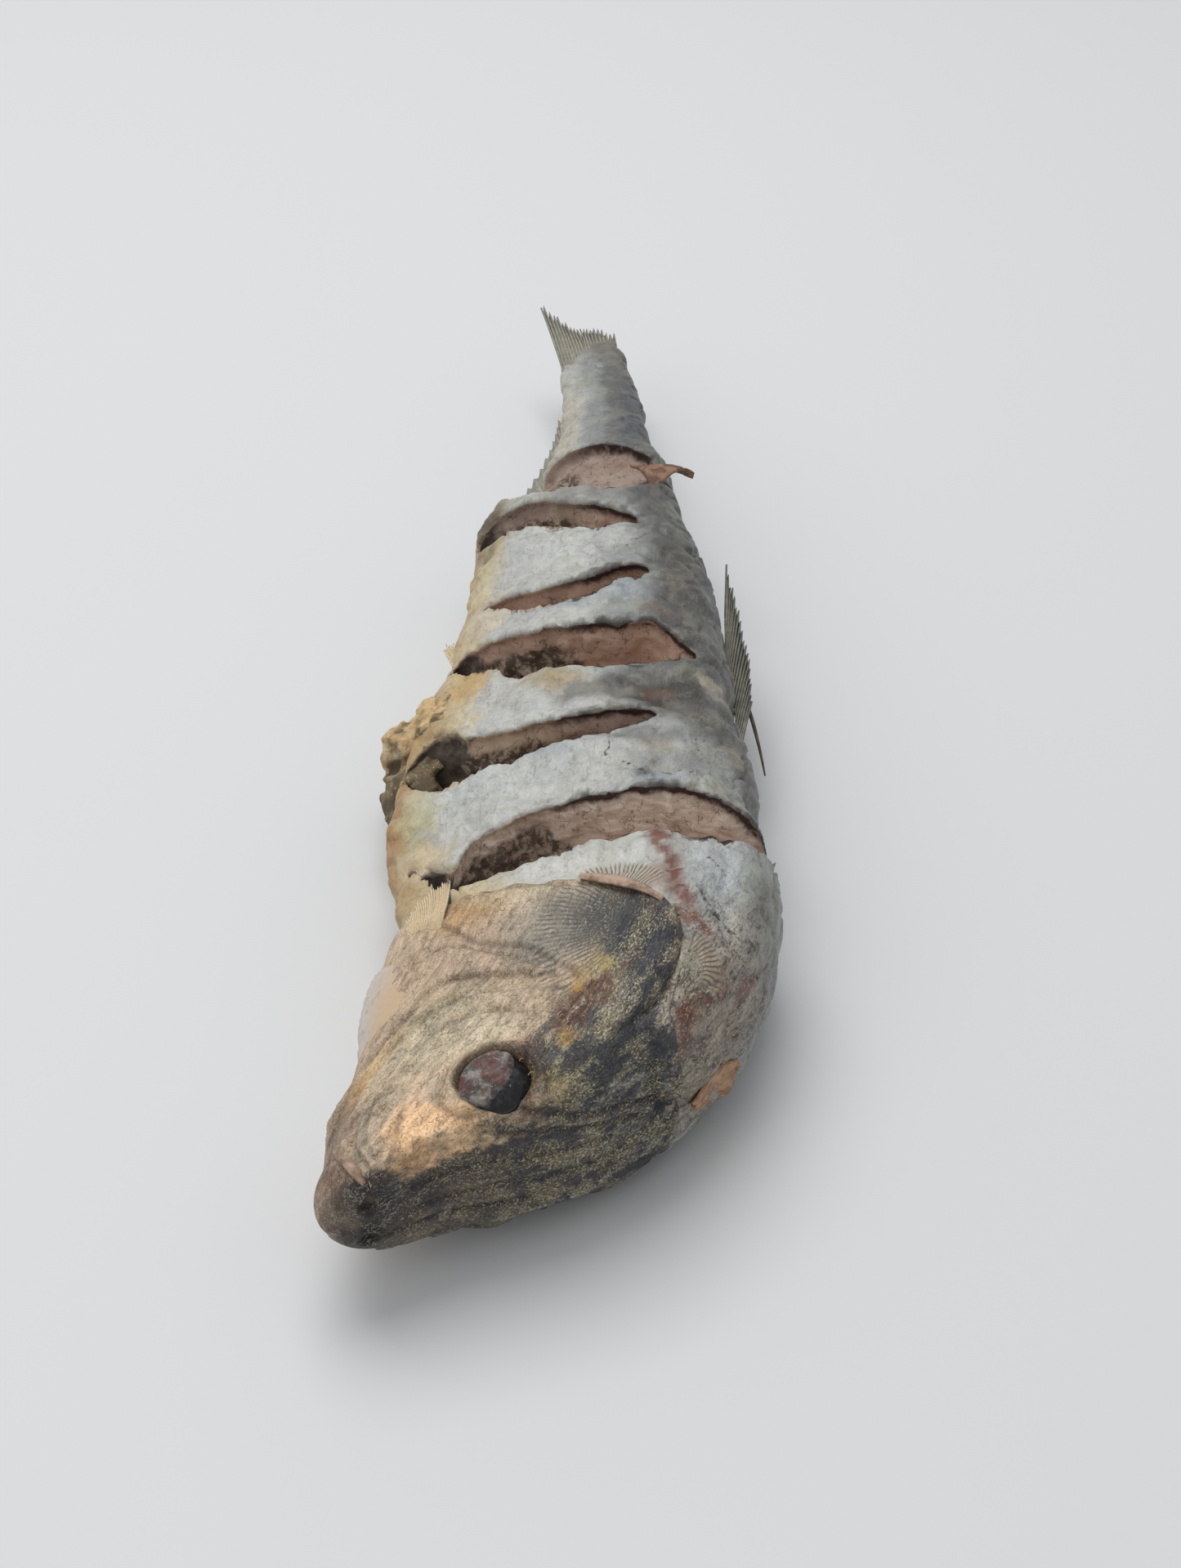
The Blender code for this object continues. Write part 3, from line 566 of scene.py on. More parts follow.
# Where the ink begins and the cream ends, as reach over place. On the tail stem the ink comes down past the
# middle: partly the back's own dark, partly painted shade on the stem's back side.
INK_FROM = ((40.0, 52.0, 60.0, 66.0, 72.0, 80.0, 90.0, 100.0, 115.0, 130.0, LENGTH),
            (19.5, 18.5, 16.0, 8.5, 5.0, 4.0, 5.5, 4.0, 2.4, -0.4, -0.8))
CREAM_FROM = ((36.0, 46.0, 52.0, 60.0, 66.0, 72.0, 80.0, 110.0),
              (-8.0, -10.0, -13.6, -14.0, -11.0, -9.6, -10.2, -10.0))
SKIN_PATCHES = (       # name, place, reach, half length, half width, turn, colour, strength
    ("pink_shoulder", 40.4, 9.6, 1.8, 1.8, 30, (180, 148, 130), 0.6),
    ("shoulder_blue", 42.0, 14.6, 4.0, 3.4, 0, (184, 190, 192), 0.7),
    ("shoulder_side", 41.3, 20.0, 2.6, 2.0, 0, (124, 124, 118), 0.7),
    ("shoulder_olive", 40.5, -3.0, 1.6, 4.0, 0, (176, 176, 156), 0.5),
    ("cream_flank", 41.0, -9.5, 4.0, 4.0, 0, (214, 194, 152), 0.85),
    ("nape_tan", 31.4, 20.0, 6.4, 6.4, 0, (162, 146, 128), 0.92),
    ("nape_rear_dark", 38.6, 24.0, 3.6, 4.4, 0, (106, 106, 102), 0.7),
    ("nape_rear_pale", 37.0, 19.4, 2.2, 2.4, 0, (164, 160, 150), 0.7),
    ("nape_strip", 33.4, 14.4, 2.8, 1.6, 0, (142, 133, 116), 0.85),
    ("nape_low", 28.8, 19.0, 1.8, 2.2, 0, (112, 96, 86), 0.8),
    ("nape_side", 30.5, 25.0, 7.0, 3.6, 0, (140, 126, 108), 0.85),
    ("nape_pale", 35.4, 22.0, 1.6, 1.2, 0, (172, 162, 148), 0.7),
    ("shoulder_white", 41.4, -0.5, 2.8, 5.0, 0, (214, 212, 205), 0.85),
    ("shoulder_rear_white", 44.6, 4.6, 1.8, 3.0, 0, (202, 202, 196), 0.6),
    ("nape_bluish", 37.0, 14.6, 2.6, 2.6, 0, (158, 162, 164), 0.7),
    ("nape_red_mid", 32.0, 17.5, 1.6, 0.7, 10, (106, 50, 38), 0.97),
    ("nape_red_front", 29.8, 17.1, 1.2, 1.0, 0, (122, 60, 46), 0.92),
    ("nape_red_low", 27.9, 19.2, 1.6, 0.6, -20, (108, 62, 52), 0.75),
    ("nape_red_back", 35.2, 20.4, 0.7, 1.3, 20, (124, 66, 52), 0.9),
    ("nape_red_side", 35.8, 21.4, 1.0, 0.8, 0, (124, 72, 58), 0.8),
    ("first_white", 59.2, -7.0, 3.0, 5.5, 0, (200, 203, 200), 0.7),
    ("first_blue", 62.0, -3.0, 1.4, 4.0, 20, (158, 166, 172), 0.6),
    ("first_back_grey", 57.0, 10.0, 4.0, 5.0, 0, (146, 147, 143), 0.7),
    ("first_dark_top", 62.6, 8.0, 1.5, 5.0, -4, (104, 105, 104), 0.75),
    ("first_edge_blue", 54.2, 9.4, 1.2, 3.6, 0, (176, 182, 192), 0.7),
    ("first_back_pale", 53.5, 17.0, 2.0, 2.4, 0, (160, 154, 142), 0.6),
    ("second_brown", 69.8, 8.4, 2.4, 4.6, 4, (60, 50, 43), 0.9),
    ("second_grey", 70.6, 1.5, 2.2, 3.4, 0, (124, 120, 112), 0.8),
    ("second_amber_mid", 73.4, -1.6, 1.5, 2.4, 0, (176, 150, 106), 0.75),
    ("second_white", 71.4, -6.6, 2.2, 2.8, 0, (190, 190, 184), 0.85),
    ("second_back", 73.6, 14.4, 2.4, 1.8, 0, (160, 156, 144), 0.7),
    ("second_amber", 78.6, -11.4, 3.4, 2.8, 20, (200, 162, 102), 0.85),
    ("second_olive", 75.0, -3.4, 1.4, 3.0, 0, (168, 150, 112), 0.7),
    ("second_dark_left", 72.4, 5.0, 1.3, 2.4, 0, (74, 70, 66), 0.85),
    ("second_dark_right", 72.6, 11.6, 2.0, 2.4, 0, (54, 53, 53), 0.85),
    ("second_rust", 70.6, 8.6, 0.9, 2.2, 0, (100, 74, 58), 0.8),
    ("second_tan_back", 74.6, 14.6, 1.4, 1.3, 0, (178, 168, 148), 0.8),
    ("second_edge_pale", 68.2, -2.0, 0.9, 4.2, -6, (206, 207, 205), 0.8),
    ("first_dark_crack", 55.2, 7.8, 0.7, 1.8, 20, (78, 80, 82), 0.8),
    ("first_warm", 60.6, 8.6, 1.4, 1.8, 0, (160, 148, 130), 0.6),
    ("first_right_tan", 62.4, 16.4, 1.6, 1.4, 0, (168, 160, 144), 0.7),
    ("first_right_dark", 58.4, 12.6, 2.2, 1.8, 0, (128, 130, 132), 0.6),
    ("third_dark", 81.4, 10.6, 2.4, 2.6, 0, (92, 88, 86), 0.8),
    ("third_rust", 85.4, 8.3, 0.9, 1.8, 0, (130, 110, 96), 0.7),
    ("fourth_back", 101.0, 12.4, 9.0, 3.4, 0, (76, 74, 73), 0.75),
    ("stem_cold", 140.0, 3.6, 12.0, 2.0, 0, (92, 95, 100), 0.7),
    ("stem_pale", 138.0, -4.4, 14.0, 1.6, 0, (196, 186, 168), 0.7),
    ("third_blue", 90.0, 0.4, 2.2, 6.4, 0, (162, 170, 176), 0.75),
    ("third_back", 92.5, 10.4, 6.0, 3.0, 0, (84, 80, 76), 0.75),
    ("third_cream", 92.0, -10.8, 3.4, 2.4, 0, (206, 190, 164), 0.75),
    ("fourth_silver", 102.0, -1.6, 3.6, 7.0, 0, (200, 201, 198), 0.8),
    ("fourth_tan", 109.0, -12.6, 3.0, 2.4, 0, (146, 124, 98), 0.8),
    ("fifth_grey", 113.0, -1.6, 2.2, 6.0, 14, (132, 128, 122), 0.7),
    ("fifth_rust", 106.4, 1.4, 1.4, 1.8, 0, (140, 96, 76), 0.7),
    ("fifth_dark", 116.0, -12.8, 4.0, 2.4, 0, (98, 82, 64), 0.9),
    ("torn_rust", 117.6, 3.6, 1.6, 4.0, 30, (136, 102, 86), 0.7),
    ("belly_olive", 55.9, -15.4, 4.0, 2.0, 0, (190, 182, 142), 0.75),
    ("belly_tan", 50.4, -14.2, 3.0, 2.6, 0, (206, 186, 152), 0.75),
    ("belly_blue", 53.4, -13.6, 2.6, 0.8, -40, (164, 168, 168), 0.6),
    ("belly_rim", 57.0, -18.6, 8.0, 2.0, 0, (168, 118, 66), 0.7),
)
BLOOD_LINE = ((47.0, 8.4), (43.2, 9.8), (40.8, 11.1), (38.6, 12.2), (37.2, 12.8), (36.5, 13.8), (36.1, 15.3))


def skin_tone(measures):
    """The skin's colour behind the head, at fish measures."""
    place, reach, height = measures.T
    wander = 2.0 * uneven(measures, 7.0, 11) + 1.4 * uneven(measures, 2.5, 12) + 0.7 * uneven(measures, 0.9, 13)
    warped_place = place + 0.9 * uneven(measures, 2.6, 15) + 0.6 * uneven(measures, 0.9, 16)
    warped_reach = reach + 0.9 * uneven(measures, 2.6, 17) + 0.6 * uneven(measures, 0.9, 18)
    warped_reach = warped_reach + np.maximum(17.0 - height, 0.0) * eased(reach, 8.0, 12.0)
    stem = eased(place, 118.0, 130.0)
    past_ink = reach - np.interp(place, *INK_FROM) + wander * (1.0 - 0.6 * stem)
    tone = np.tile(srgb(*SILVER), (len(place), 1))
    tone = tint(tone, SLATE, eased(past_ink, -5.0 + 3.0 * stem, -0.5 + stem) * 0.85)
    tone = tint(tone, INK, eased(past_ink, 0.0, 4.0 - 2.5 * stem) * 0.9)
    past_cream = reach - np.interp(place, *CREAM_FROM) + 0.8 * wander
    tone = tint(tone, CREAM, 1.0 - eased(past_cream, -1.8, 1.0))
    tone = tint(tone, AMBER, (1.0 - eased(past_cream, -6.0, -2.0)) * 0.75 * (1.0 - stem))
    tone = tint(tone, STEM_SILVER, stem * (1.0 - eased(past_ink, -5.0, -2.5)) * 0.8)
    tone = tint(tone, STEM_GREY, stem * np.exp(-((past_ink + 0.5) ** 2) / 4.0) * 0.7)
    tone = tint(tone, TAIL_TAN, eased(place, 158.0, 168.0) * 0.6)
    for _, at_place, at_reach, half_length, half_width, turn, colour, strength in SKIN_PATCHES:
        oval = spot(warped_place, warped_reach, (at_place, at_reach), (half_length, half_width), turn, 0.6)
        tone = tint(tone, colour, strength * oval)
    rough_nape = spot(place, reach, (33.0, 17.0), (9.0, 6.5))
    off_fold = eased(np.abs(uneven(measures * (0.7, 1.0, 1.0), 1.7, 81)), 0.0, 0.14)
    tone = tint(tone, FOLD_DARK, rough_nape * (1.0 - off_fold) * 0.6)
    tone = tint(tone, FOLD_PALE, rough_nape * eased(uneven(measures, 1.0, 82), 0.25, 0.6) * 0.45)
    red = np.clip(1.0 + 1.6 * uneven(measures, 0.8, 40), 0.3, 1.0)
    blood = off_line(warped_place, warped_reach, BLOOD_LINE)[0]
    blood = blood + 0.5 * uneven(measures, 1.1, 14) + 0.5 * uneven(measures, 0.45, 10)
    tone = tint(tone, BLOOD, (1.0 - eased(blood, 0.3, 0.95)) * 0.97 * red)
    return tint(tone, BLOOD_STAIN, (1.0 - eased(blood, 0.2, 2.2)) * 0.35)


# Cracks in the skin, as lines of place and reach
CRACKS = (
    ((58.5, 3.6), (57.0, 5.7), (55.5, 7.6), (56.0, 8.7), (55.8, 11.3), (56.0, 14.0), (53.5, 15.0)),
    ((61.5, 3.8), (60.2, 3.9), (58.5, 3.6)), ((57.5, 7.7), (53.2, 7.9)),
    ((58.5, 14.9), (60.8, 13.0), (63.0, 12.6)),
    ((41.0, 12.4), (39.1, 13.9), (38.1, 15.7), (37.2, 17.5), (37.9, 19.6)),
    ((43.6, 13.6), (41.6, 16.6), (41.0, 18.6)), ((71.0, 9.5), (73.0, 12.5), (76.5, 13.0)),
    ((89.5, 8.0), (87.0, 10.5), (87.5, 12.0)), ((99.0, 4.0), (102.0, 7.0), (102.5, 10.0)),
)
jitter = 0.5 * uneven(measures, 1.3, 19)
cracked = np.full(len(place), 9.0)
for line in CRACKS:
    cracked = np.minimum(cracked, off_line(place + jitter, reach - jitter, line)[0])
tone = tint(skin_tone(measures), RAGGED_EDGE_DARK, 0.85 * edge_dark)
set_colour(trunk, "tone", tone)
set_value(trunk, "cut_depth", cut_depth)
set_value(trunk, "cracked", cracked)
set_vector(trunk, "fish_mm", measures)


class Shader:
    """Makes a node tree's nodes and joins them, one call a node."""

    def __init__(self, tree):
        self.tree = tree

    def fill(self, made, values):
        """Sets a node's inputs, each from another node's socket or from a plain value."""
        for key, value in values.items():
            if isinstance(value, bpy.types.NodeSocket):
                self.tree.links.new(value, made.inputs[key])
            else:
                made.inputs[key].default_value = value
        return made

    def node(self, kind, values={}, **settings):
        made = self.tree.nodes.new("ShaderNode" + kind)
        for name, value in settings.items():
            setattr(made, name, value)
        return self.fill(made, values)

    def group(self, tree, values):
        return self.fill(self.node("Group", node_tree=tree), values).outputs

    def math(self, operation, first, second=0.0):
        return self.node("Math", {0: first, 1: second}, operation=operation).outputs[0]

    def plus(self, first, second):
        return self.math("ADD", first, second)

    def minus(self, first, second):
        return self.math("SUBTRACT", first, second)

    def times(self, first, second):
        return self.math("MULTIPLY", first, second)

    def from_middle(self, pattern):
        """How far a pattern is from its middle value, which it crosses along thin lines."""
        return self.math("ABSOLUTE", self.minus(pattern, 0.5))

    def swayed(self, value, pattern, reach):
        """A value that a pattern moves up and down by up to half a reach."""
        return self.plus(value, self.times(self.minus(pattern, 0.5), reach))

    def vector(self, operation, first, second):
        return self.node("VectorMath", {0: first, 1: second}, operation=operation).outputs[0]

    def drawn_out(self, place, share):
        """A place whose patterns are drawn out along the fish: that measure counts for a share."""
        return self.vector("MULTIPLY", place, (share, 1.0, 1.0))

    def ramp(self, value, low, high, start=0.0, end=1.0):
        """A value that goes smoothly from start at low to end at high."""
        values = {"Value": value, "From Min": low, "From Max": high, "To Min": start, "To Max": end}
        return self.node("MapRange", values, interpolation_type="SMOOTHSTEP").outputs[0]

    def mix(self, mask, first, second, blend="MIX", label=""):
        values = {"Factor": mask, 6: first, 7: second}
        return self.node("Mix", values, data_type="RGBA", blend_type=blend, label=label).outputs[2]

    def blended(self, mask, first, second):
        """One screen colour that turns into another with the mask."""
        return self.mix(mask, colour4(first), colour4(second))

    def shaded(self, colour, *shades):
        """Darkens and lightens a colour; a shade is a pattern and the ends of its ramp."""
        for shade in shades:
            colour = self.mix(1.0, colour, self.ramp(*shade), "MULTIPLY")
        return colour

    def stained(self, colour, *stains):
        """Lays screen colours over a colour; a stain is its name, its mask and its screen colour."""
        for label, mask, screen_colour in stains:
            colour = self.mix(mask, colour, colour4(screen_colour), label=label)
        return colour

    def noise(self, place, scale, detail=2.0, rough=0.5):
        values = {"Vector": place, "Scale": scale, "Detail": detail, "Roughness": rough}
        return self.node("TexNoise", values).outputs["Fac"]

    def attribute(self, name, output="Vector"):
        return self.node("Attribute", attribute_name=name).outputs[output]

    def own_millimetres(self):
        """The piece's own coordinates in millimetres."""
        own = self.node("TexCoord").outputs["Object"]
        return self.vector("MULTIPLY", own, (1.0 / MM, 1.0 / MM, 1.0 / MM))


def colour4(screen_colour):
    return (*srgb(*screen_colour), 1.0)


def new_group(name, inputs, outputs):
    """A shader node group with named sockets; returns its tree, its shader and both ends."""
    tree = bpy.data.node_groups.new(name, "ShaderNodeTree")
    for socket, kind in inputs.items():
        tree.interface.new_socket(socket, in_out="INPUT", socket_type="NodeSocket" + kind)
    for socket in outputs:
        tree.interface.new_socket(socket, in_out="OUTPUT", socket_type="NodeSocketFloat")
    given, result = (tree.nodes.new("NodeGroup" + end) for end in ("Input", "Output"))
    return tree, Shader(tree), given.outputs, result


# Dry skin's grain: salt-and-pepper specks, a coarser mottle, streaks along the fish, and creases
grain_group, shader, given, result = new_group(
    "dry_grain", {"Place": "Vector", "Speck": "Float"}, ("Specks", "Mottle", "Streaks", "Creases", "Relief"))
specks = shader.noise(given["Place"], given["Speck"], 3.0, 0.7)
mottle = shader.noise(given["Place"], 0.9, 5.0, 0.62)
streaks = shader.noise(shader.drawn_out(given["Place"], 0.16), 1.8, 5.0, 0.62)
crease_field = shader.noise(given["Place"], 0.55, 4.0, 0.55)
crease_line = shader.ramp(shader.from_middle(crease_field), 0.0, 0.022, 1.0, 0.0)
creases = shader.times(crease_line, shader.ramp(mottle, 0.35, 0.6))
relief = shader.plus(shader.times(specks, 0.35), shader.times(streaks, 0.65))
relief = shader.minus(relief, shader.times(creases, 0.3))
shader.fill(result, {
    "Specks": specks, "Mottle": mottle, "Streaks": streaks, "Creases": creases, "Relief": relief})


def dry_grain(shader, place, speck):
    return shader.group(grain_group, {"Place": place, "Speck": speck})


# Comb lines: fine lines that fan out from a centre, such as a scale's ridges or a gill cover's
fan_group, shader, given, result = new_group("comb_lines", {
    "Place": "Vector", "Centre": "Vector", "Heading": "Float", "Spread": "Float", "Count": "Float",
    "Inner": "Float", "Outer": "Float"}, ("Lines", "Field"))
offset = shader.vector("SUBTRACT", given["Place"], given["Centre"])
turned = shader.node("VectorRotate", {"Vector": offset, "Angle": given["Heading"]}, rotation_type="Z_AXIS")
ahead, aside, _ = shader.node("SeparateXYZ", {0: turned.outputs[0]}).outputs
angle = shader.math("ARCTAN2", aside, ahead)
radius = shader.math("SQRT", shader.plus(shader.times(ahead, ahead), shader.times(aside, aside)))
bend = shader.times(shader.noise(given["Place"], 0.8), 0.08)
wave = shader.math("SINE", shader.times(shader.plus(angle, bend), given["Count"]))
past_inner = shader.ramp(shader.minus(radius, given["Inner"]), 0.0, 0.5)
before_outer = shader.ramp(shader.minus(radius, given["Outer"]), -0.7, 0.2, 1.0, 0.0)
off_heading = shader.math("DIVIDE", shader.math("ABSOLUTE", angle), given["Spread"])
within = shader.ramp(off_heading, 0.75, 1.05, 1.0, 0.0)
field = shader.times(shader.times(past_inner, before_outer), within)
shader.fill(result, {"Lines": shader.times(shader.ramp(wave, -0.1, 0.8), field), "Field": field})


def comb_lines(shader, fish, centre, heading, spread, count, inner, outer):
    """A fan of comb lines on the flank; its heading and half spread are degrees from the backbone."""
    return shader.group(fan_group, {
        "Place": shader.vector("MULTIPLY", fish, (1.0, 1.0, 0.0)), "Centre": (*centre, 0.0), "Count": count,
        "Heading": math.radians(-heading), "Spread": math.radians(spread), "Inner": inner, "Outer": outer})


def new_material(name):
    material = bpy.data.materials.new(name)
    material.use_nodes = True
    material.node_tree.nodes.clear()
    return material, Shader(material.node_tree)


def finish_material(shader, colour, roughness, height=None, strength=0.5, distance=0.25, **sockets):
    """The Principled shader and the output, with a bump from a height; sockets are plain values."""
    values = {"Base Color": colour, "Roughness": roughness}
    if height is not None:
        bump = {"Height": height, "Strength": strength, "Distance": distance * MM}
        values["Normal"] = shader.node("Bump", bump).outputs[0]
    values.update({name.replace("_", " "): value for name, value in sockets.items()})
    surface = shader.node("BsdfPrincipled", values)
    shader.node("OutputMaterial", {"Surface": surface.outputs[0]})


def belongs(piece, material):
    """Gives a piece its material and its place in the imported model."""
    piece.data.materials.append(material)
    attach(piece, "root")
    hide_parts("sardine")


trunk_material, shader = new_material("trunk_skin_and_flesh")
fish = shader.attribute("fish_mm")
depth = shader.attribute("cut_depth", "Fac")
along, across, _ = shader.node("SeparateXYZ", {0: fish}).outputs
grain = dry_grain(shader, fish, 3.2)
coarse = shader.noise(fish, 0.22, 4.0, 0.6)

cracked = shader.swayed(shader.attribute("cracked", "Fac"), grain["Mottle"], 0.9)
crack_line = shader.ramp(cracked, 0.0, 0.2, 1.0, 0.0)
crack_mask = shader.times(crack_line, shader.ramp(grain["Mottle"], 0.45, 0.6, 0.95, 0.4))
rough_back = shader.times(shader.ramp(across, 9.0, 13.5), shader.ramp(along, 35.0, 43.0, 1.0, 0.3))
folds = shader.noise(shader.drawn_out(fish, 0.5), 0.7, 5.0, 0.6)
folds = shader.ramp(shader.from_middle(folds), 0.0, 0.03, 0.9, 0.0)
grit = shader.noise(fish, 4.6, 3.0, 0.7)
pale_grit = shader.times(rough_back, shader.ramp(grit, 0.56, 0.64, 0.0, 0.6))
dark_grit = shader.times(rough_back, shader.ramp(grit, 0.38, 0.46, 0.6, 0.0))
skin_colour = shader.shaded(
    shader.attribute("tone", "Color"), (grain["Mottle"], 0.3, 0.7, 1.08, 0.9), (coarse, 0.38, 0.62, 0.9, 1.08),
    (grain["Specks"], 0.35, 0.65, 0.92, 1.06))
skin_colour = shader.stained(
    skin_colour,
    ("tan streaks", shader.ramp(grain["Streaks"], 0.55, 0.75, 0.0, 0.5), (142, 128, 104)),
    ("olive clouds", shader.ramp(coarse, 0.5, 0.62, 0.0, 0.3), (150, 150, 128)),
    # painted shade along the creases that the bump sinks
    ("grey painted shade in creases", shader.times(grain["Creases"], 0.35), (104, 100, 94)),
    ("dark specks", shader.ramp(grain["Specks"], 0.68, 0.76, 0.0, 0.3), (80, 74, 68)),
    ("cracks", crack_mask, (66, 64, 62)),
    ("folds on the back", shader.times(rough_back, folds), (62, 56, 52)),
    ("pale grit on the back", pale_grit, (208, 198, 172)),
    ("dark grit on the back", dark_grit, (58, 54, 50)),
)
FANS = (               # name, centre, heading, half spread, count, inner and outer radius
    ("shoulder_fan", (36.0, 6.0), 0.0, 46.0, 84.0, 1.6, 6.4),
    ("nape_fan", (30.8, 13.4), 42.0, 30.0, 76.0, 3.0, 5.2),
)
for _, *fan_measures in FANS:
    fan = comb_lines(shader, fish, *fan_measures)
    skin_colour = shader.stained(
        skin_colour, ("fan's field", shader.times(fan["Field"], 0.45), (184, 168, 144)),
        ("fan's lines", shader.times(fan["Lines"], 0.8), (92, 78, 66)))

fibre = shader.noise(shader.vector("MULTIPLY", fish, (1.0, 0.32, 1.2)), 1.3, 7.0, 0.62)
fine_depth = shader.swayed(depth, grain["Specks"], 0.3)
uneven_depth = shader.swayed(depth, grain["Mottle"], 1.6)
middle_slashes = shader.times(
    shader.ramp(along, 72.0, 78.0, 0.0, 0.85), shader.ramp(along, 104.0, 116.0, 1.0, 0.45))
second_slash = shader.times(
    shader.ramp(along, 58.0, 61.0, 0.0, 0.75), shader.ramp(along, 70.0, 74.0, 1.0, 0.0))
second_colour = shader.blended(shader.ramp(across, -5.0, 3.0), (186, 160, 130), (142, 114, 102))
last_slash = shader.times(shader.ramp(along, 98.0, 101.0), shader.ramp(along, 112.0, 113.0, 1.0, 0.0))
blood_line = shader.times(shader.ramp(uneven_depth, 0.9, 1.7, 0.97, 0.0), shader.ramp(across, -5.0, 1.0))
blood_line = shader.times(blood_line, shader.ramp(coarse, 0.36, 0.44, 0.35, 1.0))
flesh_colour = shader.blended(shader.ramp(fibre, 0.32, 0.66), (196, 174, 158), (240, 222, 206))
flesh_colour = shader.stained(flesh_colour, ("redder flesh", middle_slashes, (182, 148, 126)))
flesh_colour = shader.mix(second_slash, flesh_colour, second_colour)
flesh_colour = shader.stained(
    flesh_colour,
    ("grey torn patch", shader.ramp(along, 111.0, 114.0, 0.0, 0.8), (150, 131, 120)),
    ("olive end", shader.times(last_slash, shader.ramp(across, -6.0, 1.0, 0.85, 0.0)), (134, 116, 90)),
    ("red clouds", shader.ramp(coarse, 0.5, 0.66, 0.0, 0.4), (140, 100, 84)),
    ("pale specks", shader.ramp(grain["Specks"], 0.57, 0.7, 0.0, 0.5), (196, 178, 156)),
    # painted shade along the flesh's creases that the bump sinks
    ("dark painted shade in the flesh's creases", shader.times(grain["Creases"], 0.7), (70, 52, 44)),
    ("blood under the skin", blood_line, (48, 24, 22)),
)
# Deep in the cuts the flesh is painted shade: dark brown with pale crumbs in it, darkest towards the belly end.
deep_shade_from = shader.minus(
    shader.ramp(across, -4.0, 7.0, 1.9, 11.0), shader.ramp(across, -12.5, -10.0, 1.6, 0.0))
deep_cut_shade_colour = shader.blended(
    shader.ramp(shader.noise(fish, 1.1, 5.0, 0.7), 0.44, 0.62), (72, 59, 50), (176, 156, 136))
deep_cut_shade_colour = shader.stained(
    deep_cut_shade_colour, ("painted shade at the belly end", shader.ramp(across, -13.0, -10.0, 0.9, 0.0), (44, 41, 36)))
painted_shade_deep_in_cuts = shader.ramp(shader.minus(uneven_depth, deep_shade_from), 0.0, 0.9, 0.0, 0.92)
flesh_colour = shader.mix(painted_shade_deep_in_cuts, flesh_colour, deep_cut_shade_colour)
flesh_mask = shader.ramp(fine_depth, 0.3, 0.4)
bumps = shader.plus(grain["Relief"], shader.times(fibre, shader.times(flesh_mask, 1.2)))
bumps = shader.minus(bumps, shader.times(crack_mask, 0.6))
roughness = shader.ramp(flesh_mask, 0.0, 1.0, 0.42, 0.85)
colour = shader.mix(flesh_mask, skin_colour, flesh_colour)
finish_material(shader, colour, roughness, bumps, 0.32, 0.4, Specular_IOR_Level=0.5)
belongs(trunk, trunk_material)

# The head: skull, jaws and gill covers under thin dry skin, one shell from the snout to the gill
# covers' free rear edge. It stands a millimetre proud of the shoulder behind it.
HEAD_RINGS, HEAD_AROUND, CLOSER_AT_SNOUT = 190, 440, 1.1
FIRST_RIM, RIM_ROUNDS, RIM_WANDER = 36.0, 40, 0.35
shares = np.arange(HEAD_AROUND) / HEAD_AROUND
rim_reach = skin(np.full(HEAD_AROUND, FIRST_RIM), shares)[0]
for _ in range(RIM_ROUNDS):
    rim_reach = 0.6 * rim_reach + 0.4 * skin(rim_place(rim_reach), shares)[0]
rim_line = rim_place(rim_reach)
rim_line = rim_line + RIM_WANDER * uneven(np.stack([rim_reach, shares * 40, rim_line], 1), 2.0, 21)
head_place = ((np.arange(HEAD_RINGS) / (HEAD_RINGS - 1)) ** CLOSER_AT_SNOUT)[:, None] * rim_line[None, :]
head_share = np.broadcast_to(shares[None, :], head_place.shape)
reach, height = skin(head_place, head_share)
place, reach, height = head_place.ravel(), reach.ravel(), height.ravel()
measures = np.stack([place, reach, height], axis=1)
from_rim = (rim_line[None, :] - head_place).ravel()
back_reach = np.interp(place, STATIONS[:, 0], STATIONS[:, 1])
dorsal = eased(reach / np.maximum(back_reach, 0.5), 0.6, 0.8)
flank = 1.0 - eased(reach / np.maximum(back_reach, 0.5), 0.86, 0.97)

EYE, LOWER_EYE, EYE_TURN, ORBIT = (15.7, 6.8), (15.0, 4.6), 62.0, (3.5, 3.1)
SOCKET_DEPTH, SOCKET_RIM = 2.2, 0.3


def eye_offsets(place, reach, height):
    """Place and reach from the middle of the eye on the same side of the head."""
    upper = height > MID_HEIGHT
    return place - np.where(upper, EYE[0], LOWER_EYE[0]), reach - np.where(upper, EYE[1], LOWER_EYE[1])


def orbit_share(a, b):
    """How far offsets from an eye lie on the way to its socket's edge, which is at 1."""
    c, s = math.cos(math.radians(EYE_TURN)), math.sin(math.radians(EYE_TURN))
    return np.hypot((a * c + b * s) / ORBIT[0], (b * c - a * s) / ORBIT[1])


COVER_RISE, COVER_RIM, NAPE_RISE = 1.0, 0.15, 0.15
cover = (1.0 - eased(reach, 12.0, 16.0)) * eased(-from_rim, -15.0, -1.0)
relief = COVER_RISE * cover + COVER_RIM * eased(-from_rim, -4.0, -0.5)
along = measures * (0.2, 1.0, 1.0)
soft = eased(place, 1.0, 8.0)
drapes = 0.26 * uneven(measures, 5.0, 31) + 0.1 * uneven(along, 1.4, 32) + 0.05 * uneven(along, 0.65, 33)
relief += soft * drapes
relief += soft * (0.03 * uneven(measures, 0.55, 34) - 0.05 * np.abs(uneven(measures, 1.1, 35)))
nape = eased(reach, 12.2, 14.4) * eased(place, 22.0, 27.0)
relief = relief * (1.0 - nape) + (wrinkled(measures) + NAPE_RISE) * nape
orbit = orbit_share(*eye_offsets(place, reach, height))
relief *= eased(place, 0.0, 1.5)
relief += -SOCKET_DEPTH * (1.0 - eased(orbit, 0.76, 1.04)) + SOCKET_RIM * np.exp(-(((orbit - 1.13) / 0.1) ** 2))

